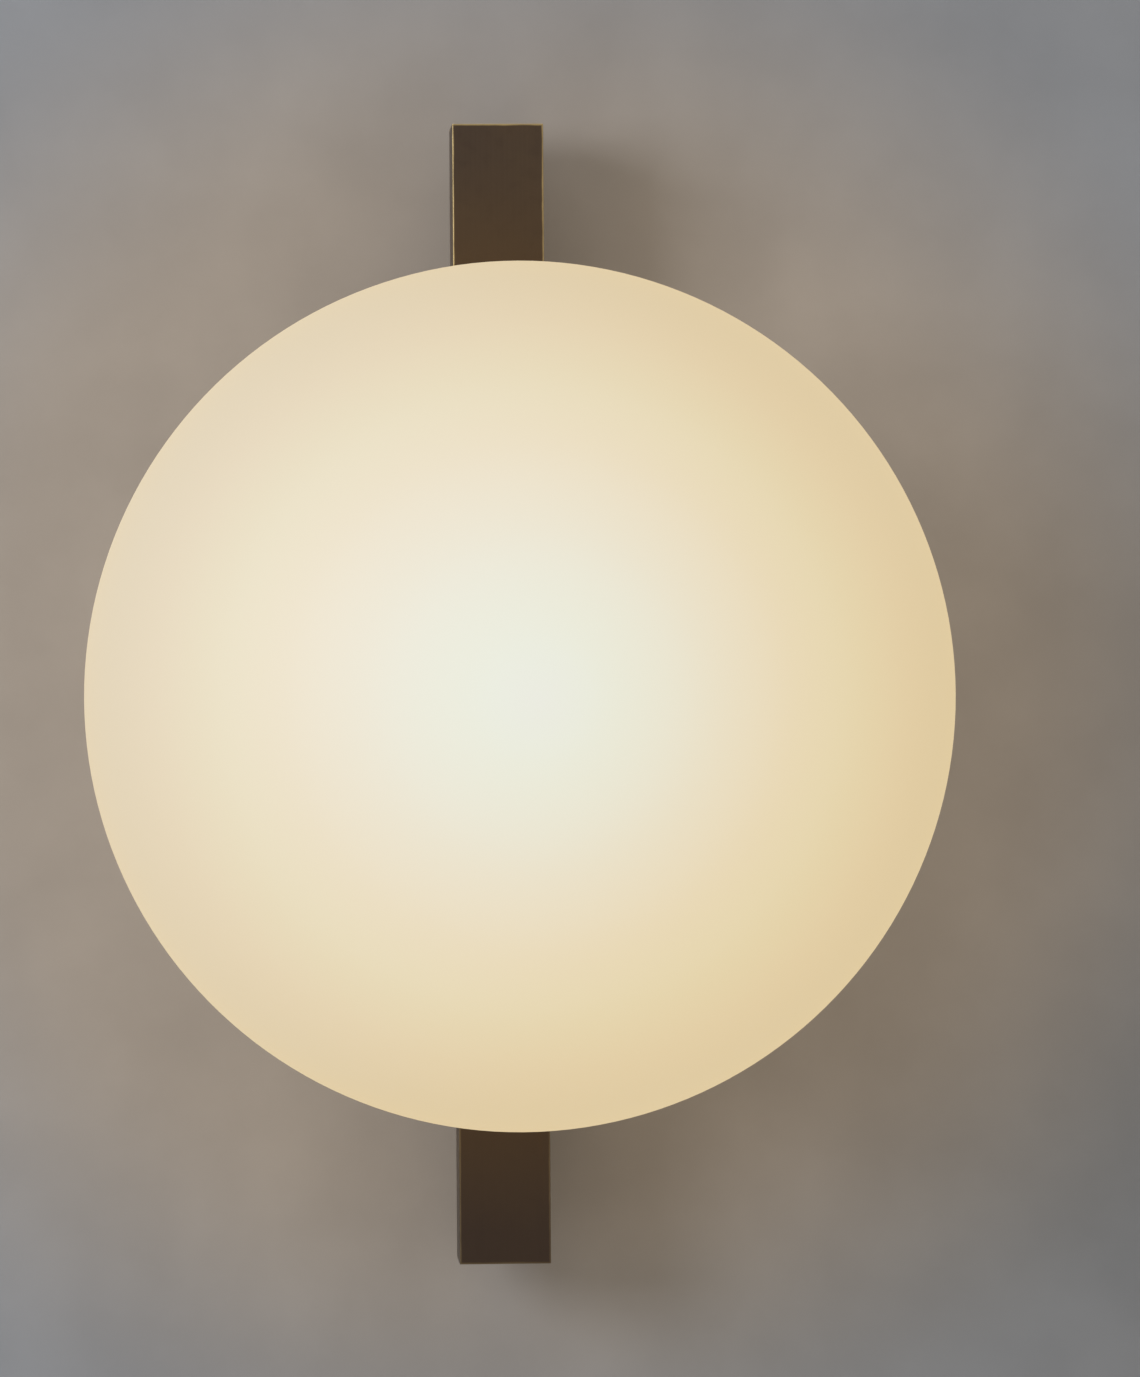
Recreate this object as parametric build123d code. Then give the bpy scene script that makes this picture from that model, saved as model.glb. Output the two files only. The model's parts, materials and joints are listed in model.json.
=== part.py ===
from build123d import *
import math
import os

# Globe wall sconce: an opal glass globe in front of a square brass bar that stands off the wall.
#
# The light is laid out on its back, as on a bench: X to the right, Y up the wall and Z out from the
# wall, with zero at the wall on the globe's axis. The last step stands it up, so that in the written
# files +Z is up and the globe faces along -Y. Every height below is a distance from the wall.
# All lengths are in millimetres.

# Globe
globe_diameter = 250.0
glass_thickness = 2.5
neck_diameter = 76.0
neck_wall = 3.0
neck_length = 15.0
neck_fillet = 3.0
neck_inner_fillet = 2.0
lip_width = 4.0
lip_thickness = 4.5
lip_rounding = 1.2
shoulder_rise = 12.0

# Bar
bar_length = 350.0
bar_width = 28.0
bar_depth = 28.0
bar_wall = 1.5
bar_edge_rounding = 0.4
end_cap_thickness = 3.0

# Canopy, the pan that holds the bar off the wall
canopy_diameter = 110.0
canopy_depth = 17.0
canopy_sheet = 1.2
canopy_rounding = 3.0

# Wall plate
plate_rim_gap = 7.8
plate_sheet = 2.0
plate_bend_rounding = 2.5
cable_hole_diameter = 16.0
slot_spacing = 60.0
slot_length = 12.0
slot_width = 4.6
ear_width = 16.0
ear_height = 11.0
ear_root = 6.0
ear_gap = 0.3

# Screws: shank diameter, head diameter and head height
side_screw_diameter = 4.0
side_screw_head_diameter = 6.8
side_screw_head_height = 1.8
side_screw_height = 6.5
side_screw_tail = 1.2
bar_screw_diameter = 4.0
bar_screw_head_diameter = 7.0
bar_screw_head_height = 2.4
bar_screw_rim_gap = 11.8
bar_screw_reach = 8.0
small_screw_diameter = 3.0
small_screw_head_diameter = 5.4
small_screw_head_height = 2.0
drive_slot_width = 0.9
drive_slot_depth = 0.9
rivet_nut_diameter = 6.0
rivet_nut_length = 9.0
rivet_nut_collar_diameter = 8.8
rivet_nut_collar_height = 2.0

# Threaded nipple through the middle of the light, and what it clamps
nipple_diameter = 10.0
nipple_bore_diameter = 7.8
nipple_tail = 1.2
nut_across_flats = 14.0
nut_height = 3.0
washer_diameter = 20.0
washer_height = 1.2
toothed_washer_diameter = 17.0
toothed_washer_height = 0.7
toothed_washer_notches = 12
toothed_washer_notch_diameter = 2.2
spacer_diameter = 16.0
bush_flange_diameter = 11.6
bush_flange_height = 0.8
bush_depth = 4.0
bush_wall = 0.7

# Gallery, the cup that the glass seats in
gallery_thread_diameter = 90.0
gallery_floor_thickness = 2.5
gallery_relief = 0.6
gallery_rim_step = 0.5
gallery_rim_relief = 0.5
gallery_lip_gap = 0.5
gallery_inner_rounding = 0.5
gallery_foot = 1.5
vent_diameter = 6.0
vent_circle_diameter = 62.0
vent_half_spread = 36.0
locating_pin_diameter = 3.0
locating_pin_offset = 20.0
locating_pin_tail = 1.0
gasket_thickness = 1.5
gasket_width = 5.5

# Retaining ring and slip washer
thread_pitch = 1.5
thread_turns = 3
ring_wall = 3.5
ring_flange_thickness = 2.5
ring_relief = 0.44
ring_chamfer = 0.8
flute_count = 72
flute_diameter = 2.4
flute_depth = 0.5
slip_washer_thickness = 1.2
slip_washer_diameter = 88.4
slip_washer_split = 4.0

# Lampholder
holder_diameter = 42.0
holder_boss_diameter = 17.0
holder_boss_height = 4.0
holder_dome_diameter = 34.6
holder_cap_height = 20.0
holder_thread_depth = 6.0
holder_thread_diameter = 38.4
holder_floor_thickness = 1.8
holder_well_diameter = 31.0
holder_length = 53.3
holder_rounding = 1.0
collar_height = 5.4
collar_diameter = 29.2
insert_diameter = 34.0
insert_base_height = 10.0
shell_diameter = 27.56
shell_inner_diameter = 26.56
shell_height = 22.7
shell_flange_thickness = 0.5
shell_flange_hole_diameter = 17.0
contact_width = 5.0
contact_thickness = 0.5
contact_foot_start = 8.2
contact_foot_end = 3.6
contact_rise = 2.1
contact_ramp = 4.4
contact_tongue_end = 3.4
contact_rivet_diameter = 2.0
contact_rivet_head_diameter = 3.2
contact_rivet_head_height = 0.5
holder_terminal_width = 6.0
holder_terminal_depth = 5.0
holder_terminal_height = 6.0
holder_terminal_offset = 9.0
holder_screw_diameter = 2.5
holder_screw_head_diameter = 4.0
holder_screw_head_height = 1.4

# Lamp
lamp_length = 110.0
lamp_diameter = 60.0
lamp_cap_diameter = 26.4
lamp_cap_length = 23.3
lamp_tip_gap = 0.3
lamp_tip_diameter = 9.0
lamp_tip_height = 1.3
lamp_insulator_height = 3.0
lamp_insulator_diameter = 23.0
lamp_collar_diameter = 28.4
lamp_collar_height = 5.5
lamp_flare_diameter = 33.0
lamp_flare_height = 5.0
lamp_seam_drop = 8.0
lamp_dome_wall = 1.5
lamp_rounding = 8.0

# Terminal block, earth screw and leads
pole_pitch = 8.0
block_width = 26.0
block_depth = 16.0
block_height = 11.0
block_offset = 28.0
block_rounding = 0.8
block_rib_width = 2.4
block_rib_depth = 2.2
pole_height = 4.0
pole_sleeve_diameter = 4.6
pole_bore_diameter = 2.6
clamp_screw_diameter = 2.4
clamp_screw_spacing = 8.0
clamp_screw_recess = 1.6
lead_diameter = 2.0
lead_offset = 1.3
lead_bend = 3.9
lead_fan = 13.0
lead_fan_bend = 8.0
lead_entry = 5.0
terminal_bend = 3.0
terminal_lead_depth = 2.0
earth_x = 17.0
earth_y = -20.0
earth_tag_diameter = 8.0
earth_tag_thickness = 0.8
earth_barrel_diameter = 3.4
earth_barrel_length = 4.5
earth_barrel_gap = 4.5
earth_lead_rise = 6.0
earth_lead_turn = 5.0

# Clearances
fit_gap = 0.1
brazed_gap = 0.05
thread_gap = 0.06
moving_gap = 0.3
overrun = 1.0

# Radii that several pieces share
globe_radius = globe_diameter / 2
neck_radius = neck_diameter / 2
neck_bore_radius = neck_radius - neck_wall
lip_radius = neck_radius + lip_width
nipple_radius = nipple_diameter / 2
nipple_hole_radius = nipple_radius + fit_gap
canopy_radius = canopy_diameter / 2
canopy_inner_radius = canopy_radius - canopy_sheet
plate_radius = canopy_inner_radius - plate_rim_gap
bar_screw_offset = canopy_inner_radius - bar_screw_rim_gap
gallery_radius = gallery_thread_diameter / 2
cup_radius = lip_radius + gallery_lip_gap
holder_radius = holder_diameter / 2
lead_radius = lead_diameter / 2

# Heights of the stack, from the wall outwards
canopy_face = canopy_depth - canopy_sheet
bar_back = canopy_depth
bar_back_inner = bar_back + bar_wall
bar_front = bar_back + bar_depth
bar_front_inner = bar_front - bar_wall
rear_washer_low = canopy_face - washer_height
rear_nut_low = rear_washer_low - nut_height
nipple_low = rear_nut_low - nipple_tail
gallery_floor = bar_front + gallery_floor_thickness
lip_back = gallery_floor + gasket_thickness
lip_front = lip_back + lip_thickness
ring_seat = lip_front + slip_washer_thickness
ring_front = ring_seat + ring_flange_thickness
thread_back = bar_front + gallery_foot
thread_front = thread_back + thread_pitch * thread_turns
rim_front = lip_front - gallery_rim_step
neck_join = lip_back + neck_length
globe_centre = neck_join + math.sqrt(globe_radius**2 - neck_radius**2)
toothed_washer_top = gallery_floor + toothed_washer_height
holder_low = toothed_washer_top + nut_height
holder_floor = holder_low + holder_boss_height + holder_floor_thickness
holder_shoulder = holder_low + holder_cap_height
holder_ledge = holder_shoulder - holder_thread_depth
holder_mouth = holder_low + holder_length
insert_low = holder_ledge + fit_gap
insert_floor = insert_low + insert_base_height
insert_top = holder_mouth - collar_height - fit_gap
contact_top = insert_floor + contact_thickness + contact_rise
lamp_tip = contact_top + lamp_tip_gap
lamp_insulator_low = lamp_tip + lamp_tip_height
lamp_cap_low = lamp_insulator_low + lamp_insulator_height
lamp_cap_top = lamp_tip + lamp_cap_length
lamp_centre = lamp_tip + lamp_length - lamp_diameter / 2
pole_axis = plate_sheet + pole_height
holder_pole_axis = insert_low - holder_terminal_height / 2


# Shapes that several pieces are made from

def turned(*corners):
    """A solid turned about Z from corners of (radius, height) or (radius, height, rounding)."""
    points = [(corner[0], 0, corner[1]) for corner in corners]
    roundings = [corner[2] if len(corner) > 2 else 0 for corner in corners]
    outline = FilletPolyline(*points, radius=roundings, close=True)
    return revolve(make_face(outline.edges()), Axis.Z)


def tube(outer, inner, low, high):
    """A straight tube about Z, or a disc where the inner radius is zero."""
    return turned((inner, low), (outer, low), (outer, high), (inner, high))


def drilled(radius, low, high):
    """A round cutter about Z that runs past both faces."""
    return tube(radius, 0, low - overrun, high + overrun)


def hexagon_nut(low, high, hole_radius):
    """A hexagon nut with the corners turned off on its free side."""
    blank = extrude(RegularPolygon(nut_across_flats / 2, 6, major_radius=False), high - low)
    corner = nut_across_flats / math.sqrt(3)
    bevel = corner - nut_across_flats / 2
    dome = turned((0, low), (corner, low), (corner, high - bevel / 2), (corner - bevel, high), (0, high))
    return (Pos(0, 0, low) * blank & dome) - drilled(hole_radius, low, high)


def screw(shank_radius, head_radius, head_height, reach):
    """A slotted screw: the shank points along +Z from zero, the head lies below zero."""
    bevel = head_height / 2
    head = turned(
        (0, -head_height),
        (head_radius - bevel, -head_height),
        (head_radius, bevel - head_height),
        (head_radius, 0),
        (0, 0),
    )
    slot = Pos(0, 0, -head_height) * Box(2 * head_radius, drive_slot_width, 2 * drive_slot_depth)
    return head - slot + tube(shank_radius, 0, 0, reach)


def swept_lead(points, bends):
    """A round lead along straight runs joined by tangent arcs."""
    route = FilletPolyline(*points, radius=bends)
    start = Plane(origin=route @ 0, z_dir=route % 0)
    return sweep(start * Circle(lead_radius), path=route)


# Directions on the bench
along_y = Rot(-90, 0, 0)
along_x = Rot(0, 90, 0)


# Wall plate and its fasteners

ear_reach = math.sqrt(canopy_inner_radius**2 - (ear_width / 2) ** 2) - ear_gap
side_hole_radius = side_screw_diameter / 2 + thread_gap
small_hole_radius = small_screw_diameter / 2 + thread_gap
block_screw_x = pole_pitch / 2


def wall_plate():
    """Round steel plate with two screw slots, a cable hole and an ear bent outwards at each side."""
    face = Circle(plate_radius) - Circle(cable_hole_diameter / 2)
    for side in (-1, 1):
        face -= Pos(side * slot_spacing / 2, 0) * SlotOverall(slot_length, slot_width)
    plate = extrude(face, plate_sheet)
    root = plate_radius - ear_root
    corners = [
        (root, 0, 0),
        (ear_reach, 0, 0),
        (ear_reach, 0, ear_height),
        (ear_reach - plate_sheet, 0, ear_height),
        (ear_reach - plate_sheet, 0, plate_sheet),
        (root, 0, plate_sheet),
    ]
    inner_bend = plate_bend_rounding - plate_sheet
    bends = [0, plate_bend_rounding, 0, 0, inner_bend, 0]
    profile = make_face(FilletPolyline(*corners, radius=bends, close=True).edges())
    ear = extrude(profile, ear_width / 2, both=True)
    hole = along_x * drilled(side_hole_radius, 0, ear_reach)
    ear -= Pos(0, 0, side_screw_height) * hole
    plate += ear
    plate += mirror(ear, Plane.YZ)
    for x, y in ((block_screw_x, block_offset), (earth_x, earth_y)):
        plate -= Pos(x, y, 0) * drilled(small_hole_radius, 0, plate_sheet)
    return plate


def side_screws():
    """Screws through the canopy's rim into the ears, one at each side."""
    reach = canopy_radius - ear_reach + plate_sheet + side_screw_tail
    one = screw(side_screw_diameter / 2, side_screw_head_diameter / 2, side_screw_head_height, reach)
    right = Pos(canopy_radius, 0, side_screw_height) * Rot(0, -90, 0) * one
    return right + mirror(right, Plane.YZ)


def earth_tag():
    """Crimped ring tag under the earth screw."""
    eye = Circle(earth_tag_diameter / 2) - Circle(small_hole_radius)
    tongue_length = earth_barrel_gap + earth_barrel_diameter / 2
    tongue = Pos(0, tongue_length / 2) * Rectangle(earth_barrel_diameter, tongue_length)
    flat = extrude(eye + (tongue - Circle(small_hole_radius)), earth_tag_thickness)
    barrel_radius = earth_barrel_diameter / 2
    barrel = tube(barrel_radius, lead_radius + brazed_gap, 0, earth_barrel_length)
    barrel = Pos(0, earth_barrel_gap, barrel_radius) * along_y * barrel
    bore = Pos(0, 0, barrel_radius) * along_y * drilled(lead_radius + brazed_gap, 0, tongue_length)
    return Pos(earth_x, earth_y, plate_sheet) * ((flat - bore) + barrel)


def earth_screw():
    """Screw that clamps the earth tag to the wall plate."""
    one = screw(
        small_screw_diameter / 2,
        small_screw_head_diameter / 2,
        small_screw_head_height,
        plate_sheet + earth_tag_thickness - fit_gap,
    )
    return Pos(earth_x, earth_y, plate_sheet + earth_tag_thickness) * Rot(180, 0, 0) * one


# Canopy

bar_screw_places = [(0, -bar_screw_offset), (0, bar_screw_offset)]


def canopy():
    """Spun pan whose rim meets the wall and whose face carries the bar."""
    pan = turned(
        (canopy_inner_radius, 0),
        (canopy_radius, 0),
        (canopy_radius, canopy_depth, canopy_rounding),
        (nipple_hole_radius, canopy_depth),
        (nipple_hole_radius, canopy_face),
        (canopy_inner_radius, canopy_face, canopy_rounding - canopy_sheet),
    )
    side_hole = tube(side_screw_diameter / 2 + fit_gap, 0, -canopy_diameter, canopy_diameter)
    pan -= Pos(0, 0, side_screw_height) * along_x * side_hole
    for x, y in bar_screw_places:
        pan -= Pos(x, y, 0) * drilled(bar_screw_diameter / 2 + fit_gap, canopy_face, canopy_depth)
    return pan


# Bar

def bar_tube():
    """Drawn square tube, upright, open at both ends."""
    middle = Pos(0, bar_back + bar_depth / 2)
    outside = RectangleRounded(bar_width, bar_depth, bar_edge_rounding)
    inside = Rectangle(bar_width - 2 * bar_wall, bar_depth - 2 * bar_wall)
    bar = extrude(Plane.XZ * middle * (outside - inside), bar_length / 2, both=True)
    bar -= drilled(nipple_hole_radius, bar_back, bar_front)
    for x, y in bar_screw_places:
        bar -= Pos(x, y, 0) * drilled(rivet_nut_diameter / 2 + fit_gap, bar_back, bar_back_inner)
    pin_hole = drilled(locating_pin_diameter / 2 + brazed_gap, bar_front_inner, bar_front)
    return bar - Pos(0, locating_pin_offset, 0) * pin_hole


def end_cap(side):
    """Flat plug brazed flush into one end of the bar."""
    width = bar_width - 2 * bar_wall - 2 * brazed_gap
    depth = bar_depth - 2 * bar_wall - 2 * brazed_gap
    y = side * (bar_length - end_cap_thickness) / 2
    return Pos(0, y, bar_back + bar_depth / 2) * Box(width, end_cap_thickness, depth)


def rivet_nuts():
    """Two threaded inserts set in the bar's back wall, each with its collar swelled behind the wall."""
    bore = bar_screw_diameter / 2 + thread_gap
    body = tube(rivet_nut_diameter / 2, bore, bar_back, bar_back + rivet_nut_length)
    collar_top = bar_back_inner + rivet_nut_collar_height
    collar = tube(rivet_nut_collar_diameter / 2, bore, bar_back_inner, collar_top)
    both = [Pos(x, y, 0) * (body + collar) for x, y in bar_screw_places]
    return both[0] + both[1]


def bar_screws():
    """Two screws from inside the canopy into the rivet nuts."""
    reach = canopy_sheet + bar_screw_reach
    one = screw(bar_screw_diameter / 2, bar_screw_head_diameter / 2, bar_screw_head_height, reach)
    both = [Pos(x, y, canopy_face) * one for x, y in bar_screw_places]
    return both[0] + both[1]


# Nipple and what it clamps

bush_bore_radius = nipple_bore_diameter / 2 - fit_gap - bush_wall


def wire_bush():
    """Plastic bush that keeps the leads off the nipple's edge."""
    flange_low = nipple_low - bush_flange_height
    return turned(
        (bush_bore_radius, flange_low),
        (bush_flange_diameter / 2, flange_low),
        (bush_flange_diameter / 2, nipple_low),
        (bush_bore_radius + bush_wall, nipple_low),
        (bush_bore_radius + bush_wall, nipple_low + bush_depth),
        (bush_bore_radius, nipple_low + bush_depth),
    )


def toothed_washer():
    """Lock washer with a ring of notches."""
    radius = toothed_washer_diameter / 2
    face = Circle(radius) - Circle(nipple_hole_radius)
    for place in PolarLocations(radius, toothed_washer_notches):
        face -= place * Circle(toothed_washer_notch_diameter / 2)
    return Pos(0, 0, gallery_floor) * extrude(face, toothed_washer_height)


# Gallery, gasket, washer and ring

ring_radius = gallery_radius + ring_wall


def gallery():
    """Turned cup with the outside thread as a plain band, six vents and a hole for the locating pin."""
    foot_radius = gallery_radius - gallery_relief
    rim_radius = gallery_radius - gallery_rim_relief
    cup = turned(
        (nipple_hole_radius, bar_front),
        (foot_radius, bar_front),
        (foot_radius, thread_back),
        (gallery_radius, thread_back),
        (gallery_radius, thread_front),
        (rim_radius, thread_front),
        (rim_radius, rim_front),
        (cup_radius, rim_front),
        (cup_radius, gallery_floor, gallery_inner_rounding),
        (nipple_hole_radius, gallery_floor),
    )
    vent = drilled(vent_diameter / 2, bar_front, gallery_floor)
    for side in (0, math.pi):
        for spread in (-1, 0, 1):
            angle = side + math.radians(spread * vent_half_spread)
            reach = vent_circle_diameter / 2
            cup -= Pos(reach * math.cos(angle), reach * math.sin(angle), 0) * vent
    pin_hole = drilled(locating_pin_diameter / 2 + brazed_gap, bar_front, gallery_floor)
    return cup - Pos(0, locating_pin_offset, 0) * pin_hole


def rear_gasket():
    """Silicone ring between the gallery's floor and the back of the glass."""
    outer = cup_radius - gallery_inner_rounding - fit_gap
    return tube(outer, outer - gasket_width, gallery_floor, lip_back)


def locating_pin():
    """Pin that keeps the gallery from turning on the bar."""
    low = bar_front_inner - locating_pin_tail
    return Pos(0, locating_pin_offset, 0) * tube(locating_pin_diameter / 2, 0, low, gallery_floor)


def slip_washer():
    """Split washer that springs over the neck and lies in front of the lip."""
    whole = tube(slip_washer_diameter / 2, neck_radius + moving_gap, lip_front, ring_seat)
    split = Pos(0, -slip_washer_diameter / 2, (lip_front + ring_seat) / 2)
    return whole - split * Box(slip_washer_split, slip_washer_diameter / 2, 2 * slip_washer_thickness)


def retaining_ring():
    """Turned ring with a fluted outside, threaded onto the gallery, with a flange over the slip washer."""
    thread_radius = gallery_radius + thread_gap
    relief_radius = thread_radius + ring_relief
    ring = turned(
        (thread_radius, thread_back),
        (ring_radius - ring_chamfer, thread_back),
        (ring_radius, thread_back + ring_chamfer),
        (ring_radius, ring_front - ring_chamfer),
        (ring_radius - ring_chamfer, ring_front),
        (lip_radius + moving_gap, ring_front),
        (lip_radius + moving_gap, ring_seat),
        (relief_radius, ring_seat),
        (relief_radius, thread_front),
        (thread_radius, thread_front),
    )
    flute_circle = ring_radius - flute_depth + flute_diameter / 2
    flute = Circle(flute_diameter / 2)
    flutes = [place * flute for place in PolarLocations(flute_circle, flute_count)]
    cutter = extrude(Sketch() + flutes, ring_front - thread_back)
    return ring - Pos(0, 0, thread_back) * cutter


# Globe

def blown_glass():
    """Blown globe with a short straight neck that ends in an outward lip."""
    inner_radius = globe_radius - glass_thickness
    inner_join = globe_centre - math.sqrt(inner_radius**2 - neck_bore_radius**2)
    outer_arc = ThreePointArc(
        (neck_radius, 0, neck_join),
        (globe_radius, 0, globe_centre),
        (0, 0, globe_centre + globe_radius),
    )
    inner_arc = ThreePointArc(
        (0, 0, globe_centre + inner_radius),
        (inner_radius, 0, globe_centre),
        (neck_bore_radius, 0, inner_join),
    )
    neck = Polyline(
        (neck_bore_radius, 0, inner_join),
        (neck_bore_radius, 0, lip_back),
        (lip_radius, 0, lip_back),
        (lip_radius, 0, lip_front),
        (neck_radius, 0, lip_front),
        (neck_radius, 0, neck_join),
    )
    pole = Line(outer_arc @ 1, inner_arc @ 0)
    profile = Sketch() + make_face([*neck.edges(), outer_arc.edge(), pole.edge(), inner_arc.edge()])

    def corner(radius, height):
        return profile.vertices().sort_by_distance((radius, 0, height))[0]

    profile = fillet(corner(neck_radius, neck_join), neck_fillet)
    profile = fillet(corner(neck_bore_radius, inner_join), neck_inner_fillet)
    profile = fillet([corner(lip_radius, lip_back), corner(lip_radius, lip_front)], lip_rounding)
    return revolve(profile, Axis.Z)


# The glass is one blown piece. It is written in three, parted at the globe's widest circle and
# across its shoulder: the front half, the back of the globe, and the shoulder with neck and lip.
glass = blown_glass()
widest = Plane.XY.offset(globe_centre)
shoulder_top = Plane.XY.offset(neck_join + shoulder_rise)
back_of_globe = split(split(glass, widest, keep=Keep.BOTTOM), shoulder_top, keep=Keep.TOP)


# Lampholder

def holder_cap():
    """Cap of the lampholder, screwed onto the nipple, with a cone-shaped side and an inside ledge."""
    thread_radius = holder_thread_diameter / 2 + thread_gap
    return turned(
        (nipple_radius + thread_gap, holder_low),
        (holder_boss_diameter / 2, holder_low),
        (holder_boss_diameter / 2, holder_low + holder_boss_height),
        (holder_dome_diameter / 2, holder_low + holder_boss_height, holder_boss_height),
        (holder_radius, holder_ledge),
        (holder_radius, holder_shoulder),
        (thread_radius, holder_shoulder),
        (thread_radius, holder_ledge),
        (holder_well_diameter / 2, holder_ledge),
        (holder_well_diameter / 2, holder_floor),
        (nipple_radius + thread_gap, holder_floor),
    )


def holder_skirt():
    """Skirt of the lampholder: a threaded spigot below, an inside collar at the mouth."""
    bore_radius = insert_diameter / 2 + fit_gap
    return turned(
        (bore_radius, holder_ledge + fit_gap),
        (holder_thread_diameter / 2, holder_ledge + fit_gap),
        (holder_thread_diameter / 2, holder_shoulder),
        (holder_radius, holder_shoulder),
        (holder_radius, holder_mouth, holder_rounding),
        (collar_diameter / 2, holder_mouth, holder_rounding),
        (collar_diameter / 2, holder_mouth - collar_height),
        (bore_radius, holder_mouth - collar_height),
    )


rivet_place = Pos(0, -(contact_foot_start + contact_foot_end) / 2, 0)


def holder_insert():
    """Ceramic cup that carries the screw shell, the centre contact and the terminals."""
    cup = turned(
        (0, insert_low),
        (insert_diameter / 2, insert_low),
        (insert_diameter / 2, insert_top),
        (shell_diameter / 2 + fit_gap, insert_top),
        (shell_diameter / 2 + fit_gap, insert_floor),
        (0, insert_floor),
    )
    return cup - rivet_place * drilled(contact_rivet_diameter / 2 + brazed_gap, insert_low, insert_floor)


def screw_shell():
    """Brass shell that the lamp's cap screws into, its thread a plain bore."""
    outer = shell_diameter / 2
    inner = shell_inner_diameter / 2
    hole = shell_flange_hole_diameter / 2
    flange_top = insert_floor + shell_flange_thickness
    return turned(
        (hole, insert_floor),
        (outer, insert_floor),
        (outer, insert_floor + shell_height),
        (inner, insert_floor + shell_height),
        (inner, flange_top),
        (hole, flange_top),
    )


def contact_foot():
    """Fixed foot of the centre contact strip."""
    length = contact_foot_start - contact_foot_end
    foot = rivet_place * Pos(0, 0, insert_floor + contact_thickness / 2)
    foot = foot * Box(contact_width, length, contact_thickness)
    top = insert_floor + contact_thickness
    return foot - rivet_place * drilled(contact_rivet_diameter / 2 + brazed_gap, insert_floor, top)


def contact_rivet():
    """Rivet through the foot and the insert."""
    top = insert_floor + contact_thickness
    shank = tube(contact_rivet_diameter / 2, 0, insert_low, top)
    head = tube(contact_rivet_head_diameter / 2, 0, top, top + contact_rivet_head_height)
    return rivet_place * (shank + head)


def contact_tongue():
    """Springy tongue that rises from the foot to the lamp's tip."""
    start = -contact_foot_end + moving_gap
    low = insert_floor + contact_thickness / 2
    high = low + contact_rise
    centre_line = Polyline((0, start, low), (0, start + contact_ramp, high), (0, contact_tongue_end, high))
    lower = [(0, p.Y, p.Z - contact_thickness / 2) for p in (centre_line @ 0, centre_line @ 1)]
    knee = (0, start + contact_ramp, high - contact_thickness / 2)
    up = Vector(0, 0, contact_thickness)
    outline = [Vector(*lower[0]), Vector(*knee), Vector(*lower[1])]
    outline += [Vector(*lower[1]) + up, Vector(*knee) + up, Vector(*lower[0]) + up]
    profile = make_face(Polyline(*outline, close=True).edges())
    return extrude(profile, contact_width / 2, both=True)


def holder_terminals():
    """Two brass terminals under the insert, each with a lead hole and a clamping hole."""
    block = Box(holder_terminal_width, holder_terminal_depth, holder_terminal_height)
    block -= along_x * tube(lead_radius + brazed_gap, 0, -holder_terminal_width, overrun)
    screw_hole = tube(holder_screw_diameter / 2 + brazed_gap, 0, -holder_terminal_depth, -lead_radius)
    block -= along_y * screw_hole
    right = Pos(holder_terminal_offset, 0, holder_pole_axis) * block
    return right + mirror(right, Plane.YZ)


def holder_screws():
    """Clamping screws of the two terminals."""
    reach = holder_terminal_depth / 2 - lead_radius - fit_gap
    head = holder_screw_head_diameter / 2
    one = screw(holder_screw_diameter / 2, head, holder_screw_head_height, reach)
    right = Pos(holder_terminal_offset, -holder_terminal_depth / 2, holder_pole_axis) * along_y * one
    return right + mirror(right, Plane.YZ)


# Terminal block

pole_places = [-pole_pitch, 0, pole_pitch]
clamp_places = [block_offset - clamp_screw_spacing / 2, block_offset + clamp_screw_spacing / 2]
block_top = plate_sheet + block_height


def terminal_block():
    """Three-pole block with a hole through each pole, screw wells above and ribs between the poles."""
    block = Box(block_width, block_depth, block_height)
    block = fillet(block.edges().filter_by(Axis.Z), block_rounding)
    block = Pos(0, block_offset, plate_sheet + block_height / 2) * block
    well_radius = clamp_screw_diameter / 2 + fit_gap
    for x in pole_places:
        bore = tube(pole_sleeve_diameter / 2 + brazed_gap, 0, -block_depth, block_depth)
        block -= Pos(x, block_offset, pole_axis) * along_y * bore
        for y in clamp_places:
            block -= Pos(x, y, 0) * tube(well_radius, 0, pole_axis, block_top + overrun)
    for x in (-block_screw_x, block_screw_x):
        groove = Box(block_rib_width, block_depth + 2 * overrun, block_rib_depth)
        block -= Pos(x, block_offset, block_top - block_rib_depth / 2) * groove
    screw_hole = tube(small_hole_radius, 0, plate_sheet - overrun, block_top + overrun)
    head_low = block_top - block_rib_depth - small_screw_head_height
    head_well = tube(small_screw_head_diameter / 2 + fit_gap, 0, head_low, block_top + overrun)
    return block - Pos(block_screw_x, block_offset, 0) * (screw_hole + head_well)


def terminal_sleeves():
    """Brass sleeve of each pole, with a threaded hole for each clamping screw."""
    sleeves = []
    for x in pole_places:
        outer = pole_sleeve_diameter / 2
        sleeve = tube(outer, pole_bore_diameter / 2, -block_depth / 2, block_depth / 2)
        sleeve = Pos(x, block_offset, pole_axis) * along_y * sleeve
        for y in clamp_places:
            hole = tube(clamp_screw_diameter / 2 + brazed_gap, 0, pole_axis, block_top)
            sleeve -= Pos(x, y, 0) * hole
        sleeves.append(sleeve)
    return sleeves[0] + sleeves[1] + sleeves[2]


def terminal_screws():
    """Six clamping screws, two for each pole."""
    low = pole_axis + lead_radius + fit_gap
    high = block_top - clamp_screw_recess
    pin = tube(clamp_screw_diameter / 2, 0, low, high)
    pin -= Pos(0, 0, high) * Box(clamp_screw_diameter, drive_slot_width / 2, drive_slot_depth)
    return Part() + [Pos(x, y, 0) * pin for x in pole_places for y in clamp_places]


def block_screw():
    """Screw that holds the block to the wall plate."""
    seat = block_top - block_rib_depth - small_screw_head_height
    one = screw(
        small_screw_diameter / 2,
        small_screw_head_diameter / 2,
        small_screw_head_height,
        seat - fit_gap,
    )
    return Pos(block_screw_x, block_offset, seat) * Rot(180, 0, 0) * one


# Leads

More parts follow.
